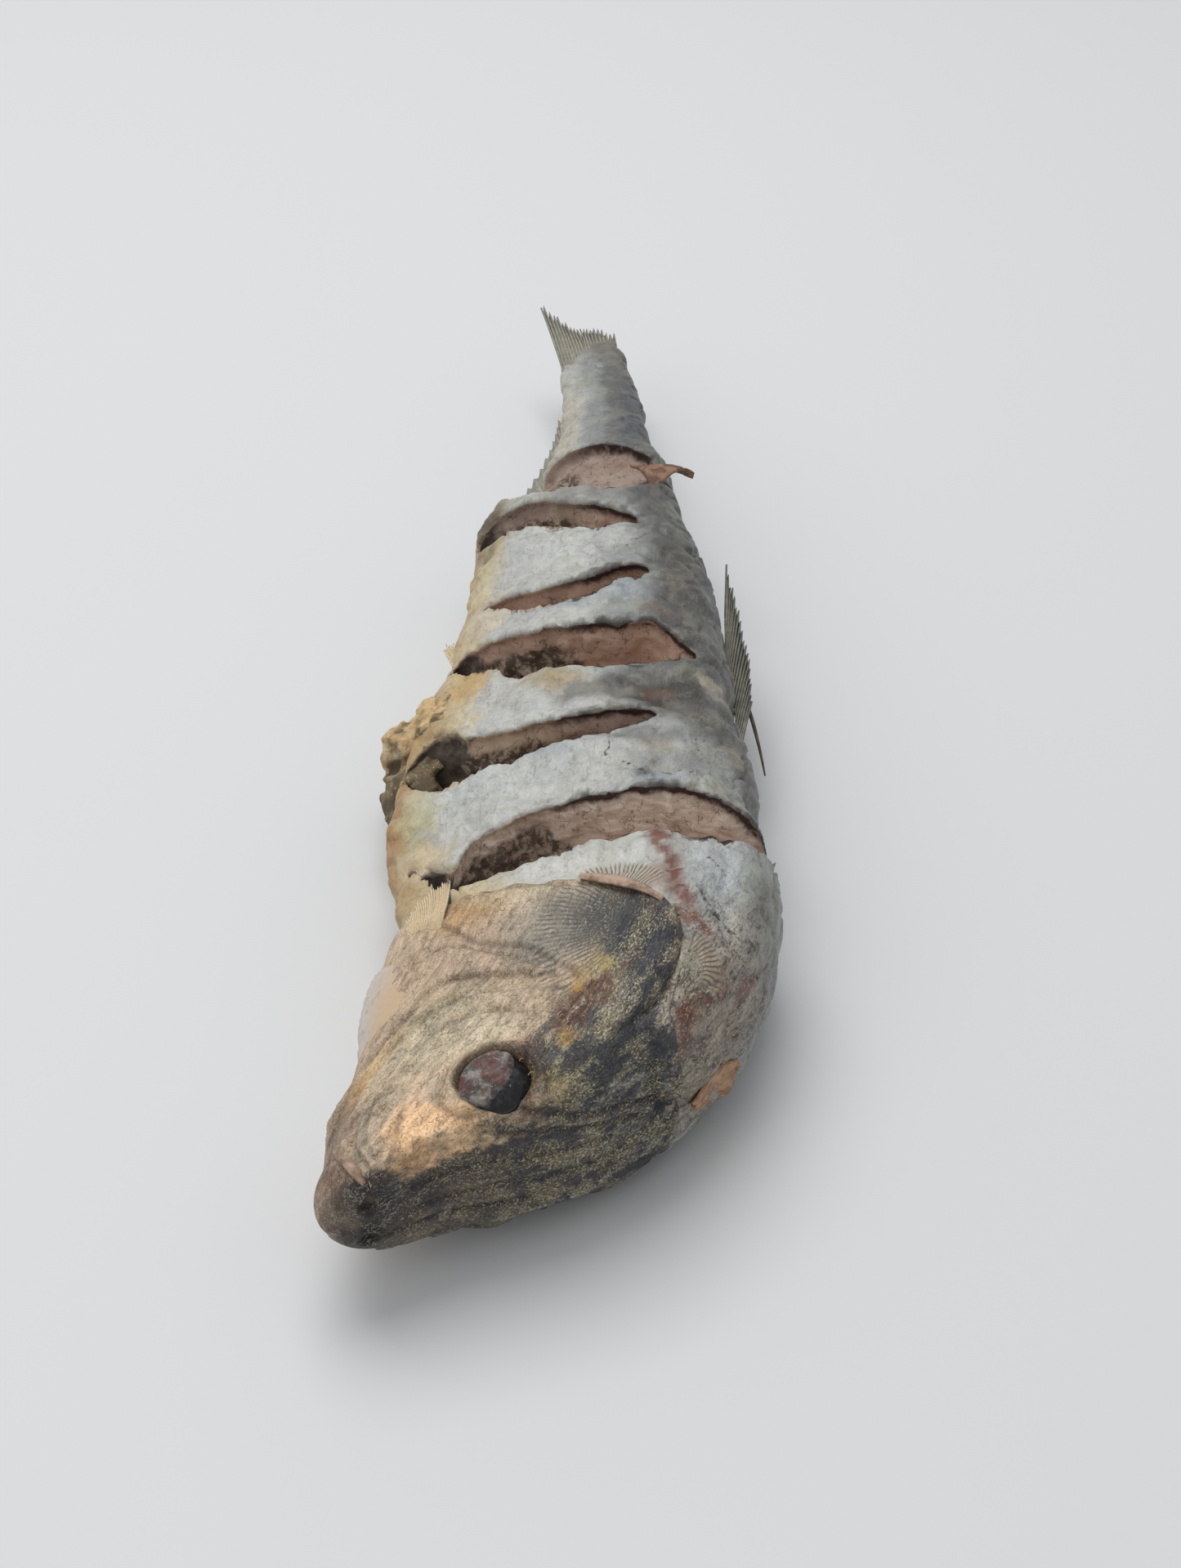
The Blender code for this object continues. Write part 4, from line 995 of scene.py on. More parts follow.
# Lines that fold, ridge or groove the head; along a line, the step lifts the side on its left
HEAD_LINES = (         # name, on the back's side by height, points, ridge, its width, step, reach of the step
    ("leaf_edge", False, ((3.7, 2.2), (4.7, 0.1), (6.8, -1.3), (9.7, -2.3), (11.4, -0.9)),
     -0.3, 0.26, 0.2, 1.2),
    ("leaf_outer_ridge", False, ((4.6, -0.6), (5.6, -2.0), (6.7, -2.6), (10.1, -2.9), (12.4, -1.6)),
     0.2, 0.24, 0.0, 1.0),
    ("leaf_near_edge", False, ((4.9, 3.8), (6.9, 2.9), (8.5, 2.0), (10.3, 1.2)), -0.18, 0.24, 0.0, 1.0),
    ("lip_line", False, ((2.6, -2.1), (4.6, -3.4), (7.0, -4.4), (10.0, -4.9)), -0.22, 0.26, 0.0, 1.0),
    ("peach_fold", False, ((8.3, 5.1), (9.4, 5.8), (10.4, 6.9)), 0.26, 0.24, 0.0, 1.0),
    ("peach_fold_low", False, ((8.0, 5.6), (8.9, 6.2), (9.8, 7.3)), -0.2, 0.24, 0.0, 1.0),
    ("leaf_inner", False, ((4.6, 2.3), (5.4, 0.7), (7.0, -0.4), (9.4, -1.3), (10.9, -0.4)),
     -0.16, 0.22, 0.0, 1.0),
    ("jaw_edge", False, ((8.5, -5.4), (12.0, -5.6), (15.5, -5.3), (18.5, -4.7), (21.0, -3.2), (23.0, 0.1),
                         (24.6, 3.0), (26.0, 5.6)), 0.3, 0.8, 0.25, 1.6),
    ("jaw_groove", False, ((10.3, -5.9), (14.8, -6.6), (19.7, -6.2), (23.7, -5.1), (25.6, -0.3), (27.2, 4.9)),
     -0.3, 0.35, -0.2, 1.0),
    ("cheek_drape", False, ((12.5, -3.9), (17.8, -4.1), (21.8, -1.4), (24.0, 2.4), (26.1, 6.7)),
     -0.24, 0.3, 0.15, 1.0),
    ("cheek_drape_near", False, ((13.5, -1.6), (17.6, -1.4), (20.4, 0.8), (22.0, 3.6), (22.8, 6.8)),
     -0.16, 0.3, 0.1, 1.0),
    ("cover_drape", False, ((25.9, -9.8), (28.5, -7.3), (28.0, -0.7), (27.4, 4.8)), -0.26, 0.3, 0.15, 1.0),
    ("cover_front_fold", False, ((33.0, -9.8), (29.6, -5.0), (29.2, -2.4), (29.1, 1.3), (27.8, 6.6)),
     -0.24, 0.3, -0.2, 1.6),
    ("cover_inner_arc", False, ((37.4, -8.0), (36.0, -4.6), (35.0, -3.2)), 0.2, 0.35, 0.0, 1.0),
    ("cover_rim_fold", False, ((37.6, -5.6), (37.9, 0.0), (37.2, 6.0), (35.6, 11.0), (33.6, 12.9)),
     -0.22, 0.4, 0.0, 1.0),
    ("cover_top_edge", False, ((35.4, 12.4), (33.6, 13.7), (31.2, 14.0), (28.6, 14.0), (26.4, 13.4)),
     -0.35, 0.4, 0.3, 1.2),
    ("lid_fold", False, ((17.4, 10.6), (16.2, 11.0), (14.4, 10.5), (12.6, 9.0), (11.9, 7.9)),
     0.32, 0.3, 0.0, 1.0),
    ("lid_groove", False, ((17.6, 11.2), (15.8, 11.5), (13.8, 10.6), (12.2, 9.0)), -0.25, 0.25, 0.0, 1.0),
    ("eye_front_fold", False, ((14.0, 3.0), (12.4, 3.3), (11.2, 4.4), (11.0, 5.8), (11.8, 7.0)),
     -0.25, 0.3, -0.2, 0.9),
    ("brow", False, ((13.0, 2.2), (15.6, 1.8), (18.4, 2.8), (20.4, 5.2), (20.8, 7.4)), 0.22, 0.7, 0.0, 1.0),
    ("skull_ridge", True, ((14.6, 17.2), (16.8, 16.4), (18.8, 15.0), (20.8, 14.1), (22.8, 13.6), (24.6, 12.8),
                           (25.8, 12.0)), -0.35, 0.35, 0.25, 1.2),
    ("skull_upper_groove", True, ((13.0, 15.4), (16.0, 14.6), (19.0, 13.2), (22.0, 12.2), (24.6, 11.0)),
     -0.26, 0.28, 0.15, 1.0),
    ("skull_lower_groove", True, ((6.0, 12.8), (10.0, 12.6), (14.0, 12.4), (18.0, 11.2), (22.0, 10.6)),
     -0.22, 0.3, 0.1, 1.0),
    ("snout_groove", True, ((2.0, 8.6), (6.0, 8.4), (10.0, 7.6), (15.0, 6.8)), -0.24, 0.35, 0.1, 1.0),
    ("skull_upper_ridge", True, ((21.0, 15.4), (22.4, 16.2), (24.0, 15.6), (26.0, 15.2)), 0.3, 0.35, 0.0, 1.0),
    ("skull_end", True, ((26.0, 15.6), (25.6, 13.6), (26.2, 11.6), (27.2, 9.6)), -0.4, 0.4, 0.25, 1.2),
    ("nape_suture", True, ((28.4, 12.0), (27.6, 10.2), (26.8, 8.6), (25.8, 6.6)), -0.35, 0.35, 0.0, 1.0),
    ("skull_midline", True, ((6.0, 10.2), (12.0, 9.6), (18.0, 8.6), (22.2, 8.4), (25.5, 9.0)),
     -0.2, 0.35, 0.1, 1.0),
    ("brow_ridge_far", True, ((12.0, 5.4), (17.5, 5.0), (20.5, 5.0), (23.0, 6.4), (26.2, 6.4)),
     0.35, 0.5, 0.2, 1.2),
    ("mouth", False, ((1.6, -0.7), (2.8, -1.6), (5.0, -2.9), (8.2, -4.6)), -0.3, 0.26, 0.1, 1.0),
)
SKULL_SHADE, CHEEK_SHADE = 1.7, 0.9                    # how strongly a line's painted shade and painted highlight show on the skull and the cheek
# Each line paints shade along a groove and a highlight along a ridge into the head's tone.
groove_painted_shade = np.zeros(len(place))
ridge_painted_highlight = np.zeros(len(place))
for _, by_height, points, ridge, width, step, fall in HEAD_LINES:
    if by_height:
        off, side = off_line(place, height, points)
        where = dorsal
    else:
        off, side = off_line(place, reach, points)
        where = flank
    relief += where * ridge * np.exp(-((off / width) ** 2))
    relief += where * step * side * np.exp(-off / fall) * eased(off, 0.0, 0.25)
    shade = where * np.exp(-((off / (width * 1.1)) ** 2)) * (SKULL_SHADE if by_height else CHEEK_SHADE)
    groove_painted_shade = np.maximum(groove_painted_shade, shade * (ridge < 0))
    ridge_painted_highlight = np.maximum(ridge_painted_highlight, shade * (ridge > 0))

NOSTRIL_PLACE, NOSTRIL_HEIGHTS = 2.2, (12.4, 8.8)
NOSTRIL_RIM, NOSTRIL_DEPTH = 0.25, 0.55


def from_nostril(place, reach, height):
    """Distance from the nearer nostril, on the snout's back side only."""
    nearer = np.min([np.hypot(place - NOSTRIL_PLACE, height - middle) for middle in NOSTRIL_HEIGHTS], axis=0)
    return nearer + 9.0 * (reach < 1.0)


nostril = from_nostril(place, reach, height)
nostril_rim = NOSTRIL_RIM * np.exp(-(((nostril - 0.85) / 0.28) ** 2))
relief += nostril_rim - NOSTRIL_DEPTH * np.exp(-((nostril / 0.5) ** 2))
relief *= eased(place, 0.0, 1.2)
head_rings = in_frame(place, reach, height).reshape(HEAD_RINGS, HEAD_AROUND, 3)
along_head = np.gradient(head_rings, axis=0)
around_head = (np.roll(head_rings, -1, axis=1) - np.roll(head_rings, 1, axis=1)) / 2.0
normals = np.cross(along_head, around_head)
normals /= np.maximum(np.linalg.norm(normals, axis=2, keepdims=True), 1e-12)
if normals[HEAD_RINGS // 2, HEAD_AROUND // 4, 2] < 0:
    normals = -normals
head_rings = head_rings + normals * (relief.reshape(HEAD_RINGS, HEAD_AROUND, 1) * MM)
rim_relief = relief.reshape(HEAD_RINGS, HEAD_AROUND)[-1]
TURNED_IN = ((0.12, 0.3), (0.45, 0.6), (3.0, 2.2), (8.0, 5.0))     # back from the rim, and inwards
INNER_LOWEST = 0.15
inner = []
for back_step, inward in TURNED_IN:
    under = drawn_in(*skin(rim_line - back_step, shares), inward - rim_relief, INNER_LOWEST)
    inner.append(in_frame(rim_line - back_step, *under))
head_rings = np.concatenate([head_rings, inner])
head_rings[:, :, 2] = np.maximum(head_rings[:, :, 2], 0.0)
head = loft("head", head_rings)

grow = len(head.data.vertices) - len(place)
groove_painted_shade, ridge_painted_highlight = (np.append(values, np.zeros(grow)) for values in (groove_painted_shade, ridge_painted_highlight))
place, reach, height = fish_measures(points_of(head))
measures = np.stack([place, reach, height], axis=1)
warped_place = place + 0.7 * uneven(measures, 2.6, 41) + 0.35 * uneven(measures, 0.9, 42)
warped_reach = reach + 0.7 * uneven(measures, 2.6, 43) + 0.35 * uneven(measures, 0.9, 44)

# The dark skull band's edge: reach over place on the flank, height over place on the back's side
BAND_PLACE = (0.0, 1.4, 3.3, 4.6, 5.7, 9.4, 12.8, 15.6, 18.7, 22.0, 26.0, 40.0)
BAND_REACH = (-0.2, 0.8, 2.4, 4.3, 5.4, 7.0, 8.9, 11.2, 12.4, 12.8, 13.6, 15.5)
BAND_HEIGHT = ((0.0, 4.0, 6.0, 9.0, 13.5, 20.0), (13.6, 14.2, 13.9, 14.3, 15.0, 14.2))
streaky = 0.7 * uneven(measures * (0.25, 1.0, 1.0), 0.6, 50) + 0.3 * uneven(measures, 0.35, 51)
band = eased(warped_reach + streaky - np.interp(place, BAND_PLACE, BAND_REACH), -0.9, 0.9)
side_height = height - 0.3 * uneven(measures, 1.5, 46)
below_edge = np.interp(place, *BAND_HEIGHT) - side_height
band = np.maximum(band, eased(reach, 0.5, 1.5) * eased(below_edge + streaky, -0.5, 0.6))
skull = band * (1.0 - 0.8 * eased(place, 27.0, 30.0))

TAN_CHEEK, AMBER_JAW = (208, 182, 152), (222, 166, 74)
SKULL_BLACK, SKULL_GREY, LEFT_RIM = (51, 48, 45), (98, 94, 86), (140, 114, 96)
SOCKET_PAINTED_SHADE, SOCKET_RUST = (62, 46, 38), (112, 68, 50)
GROOVE_SHADE_BROWN, GROOVE_SHADE_BLACK, RIDGE_HIGHLIGHT_CREAM, RIDGE_HIGHLIGHT_GREY = (48, 38, 31), (26, 26, 29), (206, 190, 164), (146, 146, 140)
NOSTRIL_PAINTED_SHADE, SNOUT_BLACK = (20, 20, 24), (34, 34, 40)
JAW_STAIN = ((9.0, -4.4), (13.0, -5.0), (16.5, -4.8), (19.5, -4.0), (22.0, -2.6), (24.5, -1.0))
HEAD_PATCHES = (       # name, place, reach, half length, half width, turn, edge, colour, strength
    ("throat", 12.0, -8.5, 16.0, 3.0, -10, 0.6, (180, 152, 128), 0.8),
    ("cheek", 20.0, -1.0, 8.0, 4.0, 18, 0.6, (202, 188, 160), 0.8),
    ("cheek_green", 23.5, -1.4, 5.0, 1.2, 28, 0.7, (154, 152, 126), 0.7),
    ("cheek_cream", 19.2, 2.8, 4.2, 1.8, 40, 0.6, (214, 200, 172), 0.7),
    ("upper_cheek", 28.0, -4.5, 5.0, 5.0, 0, 0.6, (188, 162, 138), 0.8),
    ("pink_cheek", 26.5, 1.0, 3.6, 3.6, 30, 0.7, (192, 164, 140), 0.6),
    ("cover_cream", 36.4, -2.0, 2.2, 3.4, 0, 0.6, (208, 192, 168), 0.8),
    ("cover_amber", 34.6, -7.4, 3.8, 2.8, 0, 0.6, (188, 148, 98), 0.85),
    ("snout_side", 6.0, -3.2, 5.4, 2.2, -28, 0.6, (140, 117, 100), 0.9),
    ("maxilla", 2.2, 0.6, 1.7, 1.6, 30, 0.5, (124, 102, 88), 0.9),
    ("leaf", 7.4, 0.9, 4.4, 2.1, -26, 0.25, (188, 167, 142), 0.95),
    ("leaf_shade", 5.8, 0.0, 3.4, 0.6, -26, 0.6, (144, 134, 116), 0.6),
    ("peach", 9.5, 4.4, 3.8, 2.9, 20, 0.3, (255, 208, 160), 0.97),
    ("peach_low", 11.2, 6.9, 2.2, 1.3, 45, 0.5, (238, 196, 150), 0.85),
    ("peach_upper", 11.6, 2.4, 2.0, 1.2, 20, 0.5, (222, 190, 160), 0.8),
    ("peach_stain", 9.0, 5.6, 0.8, 0.4, 40, 0.7, (164, 142, 112), 0.7),
    ("peach_fringe", 5.6, 4.6, 2.0, 0.7, 20, 0.7, (148, 112, 74), 0.8),
    ("lip", 4.4, -4.4, 5.0, 1.2, -28, 0.5, (186, 160, 130), 0.7),
    ("lip_rust", 2.6, -1.4, 1.8, 0.5, -30, 0.7, (104, 66, 58), 0.8),
    ("eye_lid", 12.4, 3.8, 1.2, 2.2, 10, 0.3, (184, 166, 142), 0.8),
    ("eye_back", 17.8, 10.2, 3.2, 1.8, 50, 0.5, (122, 104, 80), 0.7),
    ("eye_back_rust", 19.4, 8.0, 1.3, 1.4, 30, 0.6, (118, 70, 50), 0.85),
    ("olive_behind_eye", 20.0, 10.8, 2.8, 2.0, 30, 0.6, (172, 154, 96), 0.9),
    ("speckled_field", 26.0, 11.4, 7.0, 3.2, 10, 0.45, (116, 111, 95), 0.92),
    ("speckled_front", 21.8, 11.4, 3.4, 2.2, 40, 0.5, (120, 114, 94), 0.85),
    ("blue_upper", 31.2, 13.2, 1.8, 1.2, 0, 0.6, (54, 56, 62), 0.85),
    ("blue_middle", 28.0, 12.9, 1.6, 1.0, 0, 0.6, (58, 58, 60), 0.75),
    ("blue_front", 22.8, 13.3, 2.2, 0.9, 12, 0.6, (52, 53, 58), 0.85),
    ("cover_fringe", 32.2, 2.4, 4.6, 4.4, 30, 0.6, (146, 141, 129), 0.85),
    ("cover_dark", 33.8, 7.4, 3.8, 5.0, 14, 0.5, (82, 84, 84), 0.94),
    ("cover_darkest", 33.7, 9.2, 3.3, 4.4, 10, 0.6, (42, 45, 50), 0.94),
    ("cover_dark_front", 31.6, 11.2, 1.6, 1.4, 10, 0.6, (60, 62, 66), 0.8),
    ("cover_tan_tip", 37.2, -5.6, 2.0, 3.0, 0, 0.6, (200, 176, 142), 0.85),
    ("rust_spot_upper", 26.2, 8.9, 2.8, 1.8, 20, 0.5, (84, 34, 20), 0.97),
    ("rust_spot_front", 23.6, 9.3, 1.9, 1.7, 0, 0.5, (80, 30, 16), 0.97),
    ("rust_trail", 30.0, 10.8, 2.0, 0.5, 24, 0.6, (100, 68, 56), 0.75),
    ("gold_spot_front", 22.2, 9.6, 0.9, 0.7, 0, 0.7, (198, 154, 68), 0.8),
    ("gold_spot_middle", 27.2, 7.4, 1.1, 0.7, 0, 0.7, (204, 156, 66), 0.8),
    ("gold_spot_upper", 29.3, 8.2, 1.1, 0.8, 10, 0.7, (190, 168, 88), 0.75),
    ("rim_lobe", 28.8, 14.6, 1.8, 0.8, 0, 0.5, (142, 132, 112), 0.8),
)
tone = np.tile(srgb(*TAN_CHEEK), (len(place), 1))
off_jaw_stain = off_line(warped_place, warped_reach, JAW_STAIN)[0]
tone = tint(tone, AMBER_JAW, 0.95 * (1.0 - eased(off_jaw_stain, 0.4, 1.7)))
broken = np.clip(1.0 + 1.4 * uneven(measures, 0.7, 40), 0.4, 1.0)
rusty = np.zeros(len(place))
for name, at_place, at_reach, half_length, half_width, turn, edge, colour, strength in HEAD_PATCHES:
    oval = spot(warped_place, warped_reach, (at_place, at_reach), (half_length, half_width), turn, edge)
    mask = strength * oval
    if name.startswith(("rust", "gold")):
        mask = mask * broken
        rusty = np.maximum(rusty, mask)
    tone = tint(tone, colour, mask)
tone = tint(tone, SKULL_BLACK, skull * 0.95)
tone = tint(tone, SKULL_GREY, skull * eased(place, 15.0, 21.0) * 0.8)
SIDE_PATCHES = (       # on the back's side: name, place, height, half length, half height, colour, strength
    ("snout_top", 2.4, 11.2, 4.4, 5.4, (40, 39, 44), 0.97),
    ("skull_blue", 22.8, 15.2, 3.2, 1.6, (62, 66, 73), 0.75),
    ("skull_tan", 19.6, 11.0, 3.2, 2.0, (142, 134, 116), 0.6),
    ("skull_dark", 24.5, 10.6, 3.0, 2.4, (66, 66, 67), 0.6),
    ("skull_low", 12.0, 7.0, 9.0, 3.2, (108, 98, 84), 0.8),
    ("snout_tip_ochre", 0.6, 12.2, 1.2, 1.8, (138, 122, 104), 0.7),
)
for _, at_place, at_height, half_length, half_height, colour, strength in SIDE_PATCHES:
    warped_height = height + warped_reach - reach
    oval = spot(warped_place, warped_height, (at_place, at_height), (half_length, half_height), 0.0, 0.6)
    tone = tint(tone, colour, strength * oval * band)
a, b = eye_offsets(warped_place, warped_reach, height)
orbit = orbit_share(a, b)
off_middle = eased(np.abs(height - MID_HEIGHT), 1.0, 3.0)
# Painted shade in a ring just inside the eye socket's edge.
tone = tint(tone, SOCKET_PAINTED_SHADE, np.exp(-(((orbit - 0.96) / 0.12) ** 2)) * 0.75 * off_middle)
rust_ring = np.exp(-(((orbit - 1.08) / 0.12) ** 2)) * 0.6 * off_middle * eased(a + b, 1.0, 3.0)
tone = tint(tone, SOCKET_RUST, rust_ring)
nape = eased(reach + 0.6 * uneven(measures, 1.5, 47), 13.4, 15.0) * eased(place, 26.5, 29.0)
tone = tone * (1.0 - nape[:, None]) + skin_tone(measures) * nape[:, None]
left_rim = spot(warped_place, warped_reach, (2.6, -1.8), (3.6, 1.2), -32.0, 0.6)
tone = tint(tone, LEFT_RIM, left_rim * 0.8)
# Painted shade along the lines' grooves and painted highlight along their ridges.
tone = tint(tone, GROOVE_SHADE_BROWN, groove_painted_shade * (0.42 + 0.4 * uneven(measures, 1.6, 48)))
tone = tint(tone, GROOVE_SHADE_BLACK, skull * groove_painted_shade * 0.6)
tone = tint(tone, RIDGE_HIGHLIGHT_CREAM, ridge_painted_highlight * (1.0 - skull) * 0.3)
tone = tint(tone, RIDGE_HIGHLIGHT_GREY, ridge_painted_highlight * skull * 0.4)
nostril = from_nostril(place, reach, height)
# Painted shade in the nostril pits, then dark snout skin around them.
tone = tint(tone, NOSTRIL_PAINTED_SHADE, 1.0 - eased(nostril, 0.4, 0.8))
tone = tint(tone, SNOUT_BLACK, 0.8 * (1.0 - eased(nostril, 0.6, 2.6)))
set_colour(head, "tone", tone)
set_vector(head, "fish_mm", measures)
speckled = spot(warped_place, warped_reach, (25.5, 11.0), (9.0, 4.0), 12.0, 0.4)
on_cover = spot(place, reach, (33.4, 9.4), (4.6, 4.6), 10.0)
on_cheek = spot(place, reach, (22.0, -0.5), (8.0, 3.5), 20.0)
speckled = np.clip(skull + speckled + 0.6 * on_cover + 0.3 * on_cheek, 0.0, 1.0)
speckled = speckled * eased(place + 0.8 * uneven(measures, 1.2, 49), 3.0, 6.5)
speckled = speckled * (0.6 + 0.4 * eased(place, 11.0, 17.0))
set_value(head, "speckled", speckled)
set_value(head, "rusty", rusty)

head_material, shader = new_material("head_skin")
fish = shader.attribute("fish_mm")
grain = dry_grain(shader, shader.drawn_out(fish, 0.7), 6.0)
wide = shader.noise(shader.drawn_out(fish, 0.5), 0.6, 3.0, 0.6)
clouds = shader.noise(shader.drawn_out(fish, 0.45), 0.55, 5.0, 0.62)
fibres = shader.noise(shader.drawn_out(fish, 0.12), 2.6, 4.0, 0.6)
fibres = shader.ramp(shader.from_middle(fibres), 0.0, 0.02, 1.0, 0.0)
unstained = shader.ramp(shader.attribute("rusty", "Fac"), 0.2, 0.8, 1.0, 0.2)
speckled = shader.attribute("speckled", "Fac")
plain = shader.times(shader.minus(1.0, speckled), unstained)
speckled = shader.times(speckled, unstained)
gold = shader.times(speckled, shader.ramp(grain["Specks"], 0.55, 0.63, 0.0, 0.9))
striae = comb_lines(shader, fish, (33.6, 9.6), -100.0, 72.0, 84.0, 1.8, 9.6)
broken_striae = shader.times(striae["Lines"], shader.ramp(grain["Mottle"], 0.35, 0.6, 0.9, 0.3))
colour = shader.shaded(
    shader.attribute("tone", "Color"), (grain["Streaks"], 0.3, 0.7, 1.2, 0.72), (wide, 0.36, 0.64, 1.12, 0.9),
    (grain["Specks"], 0.35, 0.65, 0.78, 1.22))
colour = shader.stained(
    colour,
    ("brown mottle", shader.ramp(grain["Mottle"], 0.52, 0.72, 0.0, 0.3), (146, 118, 84)),
    ("pale fibres", shader.times(fibres, shader.ramp(grain["Mottle"], 0.4, 0.6, 0.7, 0.1)), (226, 212, 184)),
    # painted shade along the creases that the bump sinks
    ("brown painted shade in creases", shader.times(grain["Creases"], 0.5), (84, 66, 50)),
    ("pale flecks", shader.times(plain, shader.ramp(grain["Specks"], 0.62, 0.7, 0.0, 0.6)), (222, 208, 180)),
    ("brown dots", shader.times(plain, shader.ramp(grain["Specks"], 0.32, 0.42, 0.45, 0.0)), (90, 74, 60)),
    ("blue clouds", shader.times(speckled, shader.ramp(clouds, 0.42, 0.52, 0.8, 0.0)), (44, 48, 58)),
    ("olive clouds", shader.times(speckled, shader.ramp(clouds, 0.52, 0.64, 0.0, 0.45)), (134, 124, 90)),
    ("gold specks", shader.times(gold, shader.ramp(clouds, 0.4, 0.54, 0.12, 1.0)), (206, 198, 166)),
    ("black specks", shader.times(speckled, shader.ramp(grain["Specks"], 0.36, 0.46, 0.8, 0.0)), (26, 26, 29)),
    ("field of the cover's lines", shader.times(striae["Field"], 0.1), (176, 172, 160)),
    ("the cover's lines", shader.times(broken_striae, 0.75), (62, 62, 62)),
)
bumps = shader.minus(grain["Relief"], shader.times(striae["Lines"], 0.2))
roughness = shader.ramp(grain["Mottle"], 0.3, 0.7, 0.42, 0.62)
finish_material(shader, colour, roughness, bumps, 0.6, 0.35, Specular_IOR_Level=0.45)
belongs(head, head_material)

# The eyes: each has dried to a sunken black ball under a cloudy, wrinkled lens. The ball sits deep in
# its socket, and the lens has stuck to the ball's face.
EYE_BALL, EYE_SINK = (3.2, 2.95, 1.6), 1.5             # half length, half width and rise; depth of the seat
EYE_LENS, LENS_CENTRE, LENS_LIFT = (3.1, 2.2, 1.2), (-0.2, -0.8), 0.85
DOME_RINGS, DOME_AROUND, DOME_WALL = 40, 96, 1.2


def skin_frame(place, reach, side=1):
    """A point on the flank and its directions along the fish, across it and outwards, in metres."""
    middle = in_frame(place, reach, flank_height(place, reach, side))
    along = in_frame(place + 1.0, reach, flank_height(place + 1.0, reach, side)) - middle
    across = in_frame(place, reach + 1.0, flank_height(place, reach + 1.0, side)) - middle
    out = np.cross(along, across)
    out *= 1.0 / np.linalg.norm(out)
    if out[2] * side < 0:
        out = -out
    along /= np.linalg.norm(along)
    across = np.cross(out, along) * np.sign(np.dot(np.cross(out, along), across))
    return middle, along, across, out


def dome(name, place, reach, side, centre, size, lift, crumple, seed):
    """A shallow closed cap beside a point on the skin: size is half length, half width and rise."""
    middle, along, across, out = skin_frame(place, reach, side)
    share = (np.arange(DOME_RINGS) + 1) / DOME_RINGS
    angle = np.arange(DOME_AROUND) * 2 * math.pi / DOME_AROUND
    a = np.outer(share, np.cos(angle)) * size[0]
    b = np.outer(share, np.sin(angle)) * size[1]
    points = np.stack([a.ravel(), b.ravel(), np.zeros(a.size)], axis=1)
    up = size[2] * np.sqrt(np.maximum(1.0 - share**2, 0.0))[:, None] + np.zeros_like(a)
    up = up + (crumple * (uneven(points, 1.1, seed) + 0.5 * uneven(points, 0.45, seed + 1))).reshape(a.shape)
    a, b, up = a + centre[0], b + centre[1], up + lift
    top = middle + MM * (a[..., None] * along + b[..., None] * across + up[..., None] * out)
    under = top[-1] - out * MM * DOME_WALL
    return loft(name, np.concatenate([top, under[None]]))


ball_material, shader = new_material("eye_ball")
haze = shader.noise(shader.own_millimetres(), 1.2, 5.0, 0.6)
colour = shader.blended(shader.ramp(haze, 0.45, 0.75, 0.0, 0.5), (24, 25, 28), (66, 64, 62))
finish_material(shader, colour, shader.ramp(haze, 0.4, 0.7, 0.16, 0.5), haze, 0.25, 0.1)

lens_material, shader = new_material("eye_lens")
own_place = shader.own_millimetres()
cloud = shader.noise(own_place, 0.9, 6.0, 0.65)
grit = shader.noise(own_place, 3.2, 4.0, 0.7)
rust = shader.noise(shader.vector("ADD", own_place, (7.0, 3.0, 0.0)), 0.7, 4.0, 0.6)
colour = shader.stained(
    shader.blended(shader.ramp(cloud, 0.42, 0.6), (76, 70, 66), (152, 146, 138)),
    ("rust", shader.ramp(rust, 0.46, 0.6, 0.0, 0.85), (104, 64, 58)),
    ("pale grit", shader.ramp(grit, 0.6, 0.7, 0.0, 0.7), (206, 204, 198)))
finish_material(shader, colour, shader.ramp(grit, 0.3, 0.7, 0.35, 0.7), grit, 0.5, 0.2)

for side, word, seat in ((1, "upper", EYE), (-1, "lower", LOWER_EYE)):
    ball = dome(f"eye_ball_{word}", *seat, side, (0.0, 0.0), EYE_BALL, -EYE_SINK, 0.03, 51)
    belongs(ball, ball_material)
    lens = dome(f"eye_lens_{word}", *seat, side, LENS_CENTRE, EYE_LENS, LENS_LIFT - EYE_SINK, 0.2, 53)
    belongs(lens, lens_material)

# The burst belly: crumbs of dry flesh and lining that swelled out between the first slashes and
# froze there. They are one crumbly mass on the flank's edge.
CRUMBS = (             # place, reach, height, radius
    (74.4, -18.5, 9.5, 2.3), (73.6, -19.6, 8.2, 1.5), (76.0, -17.6, 9.6, 1.7), (75.2, -16.0, 11.4, 2.0),
    (74.0, -14.0, 12.4, 1.9), (76.6, -13.4, 12.6, 1.7), (78.6, -16.0, 10.8, 1.7), (73.2, -15.6, 10.6, 1.1),
    (71.4, -14.8, 10.8, 1.0), (69.2, -15.8, 9.4, 2.1), (67.6, -17.2, 8.4, 2.4), (66.2, -15.2, 9.2, 1.6),
    (67.6, -19.4, 6.6, 1.3), (69.4, -14.4, 10.4, 1.1), (66.4, -18.4, 7.2, 1.8), (71.6, -17.6, 6.6, 2.6),
    (75.4, -18.2, 6.2, 2.8), (64.6, -17.6, 7.0, 2.0), (70.6, -18.6, 6.4, 1.6),
)
CRUMB_SHAPE, FIRST_CRUMB_SEED, CRUMB_VOXEL, LOWEST_CRUMB = (1.15, 0.95, 0.95), 60, 0.26, 0.05
crumbs = []
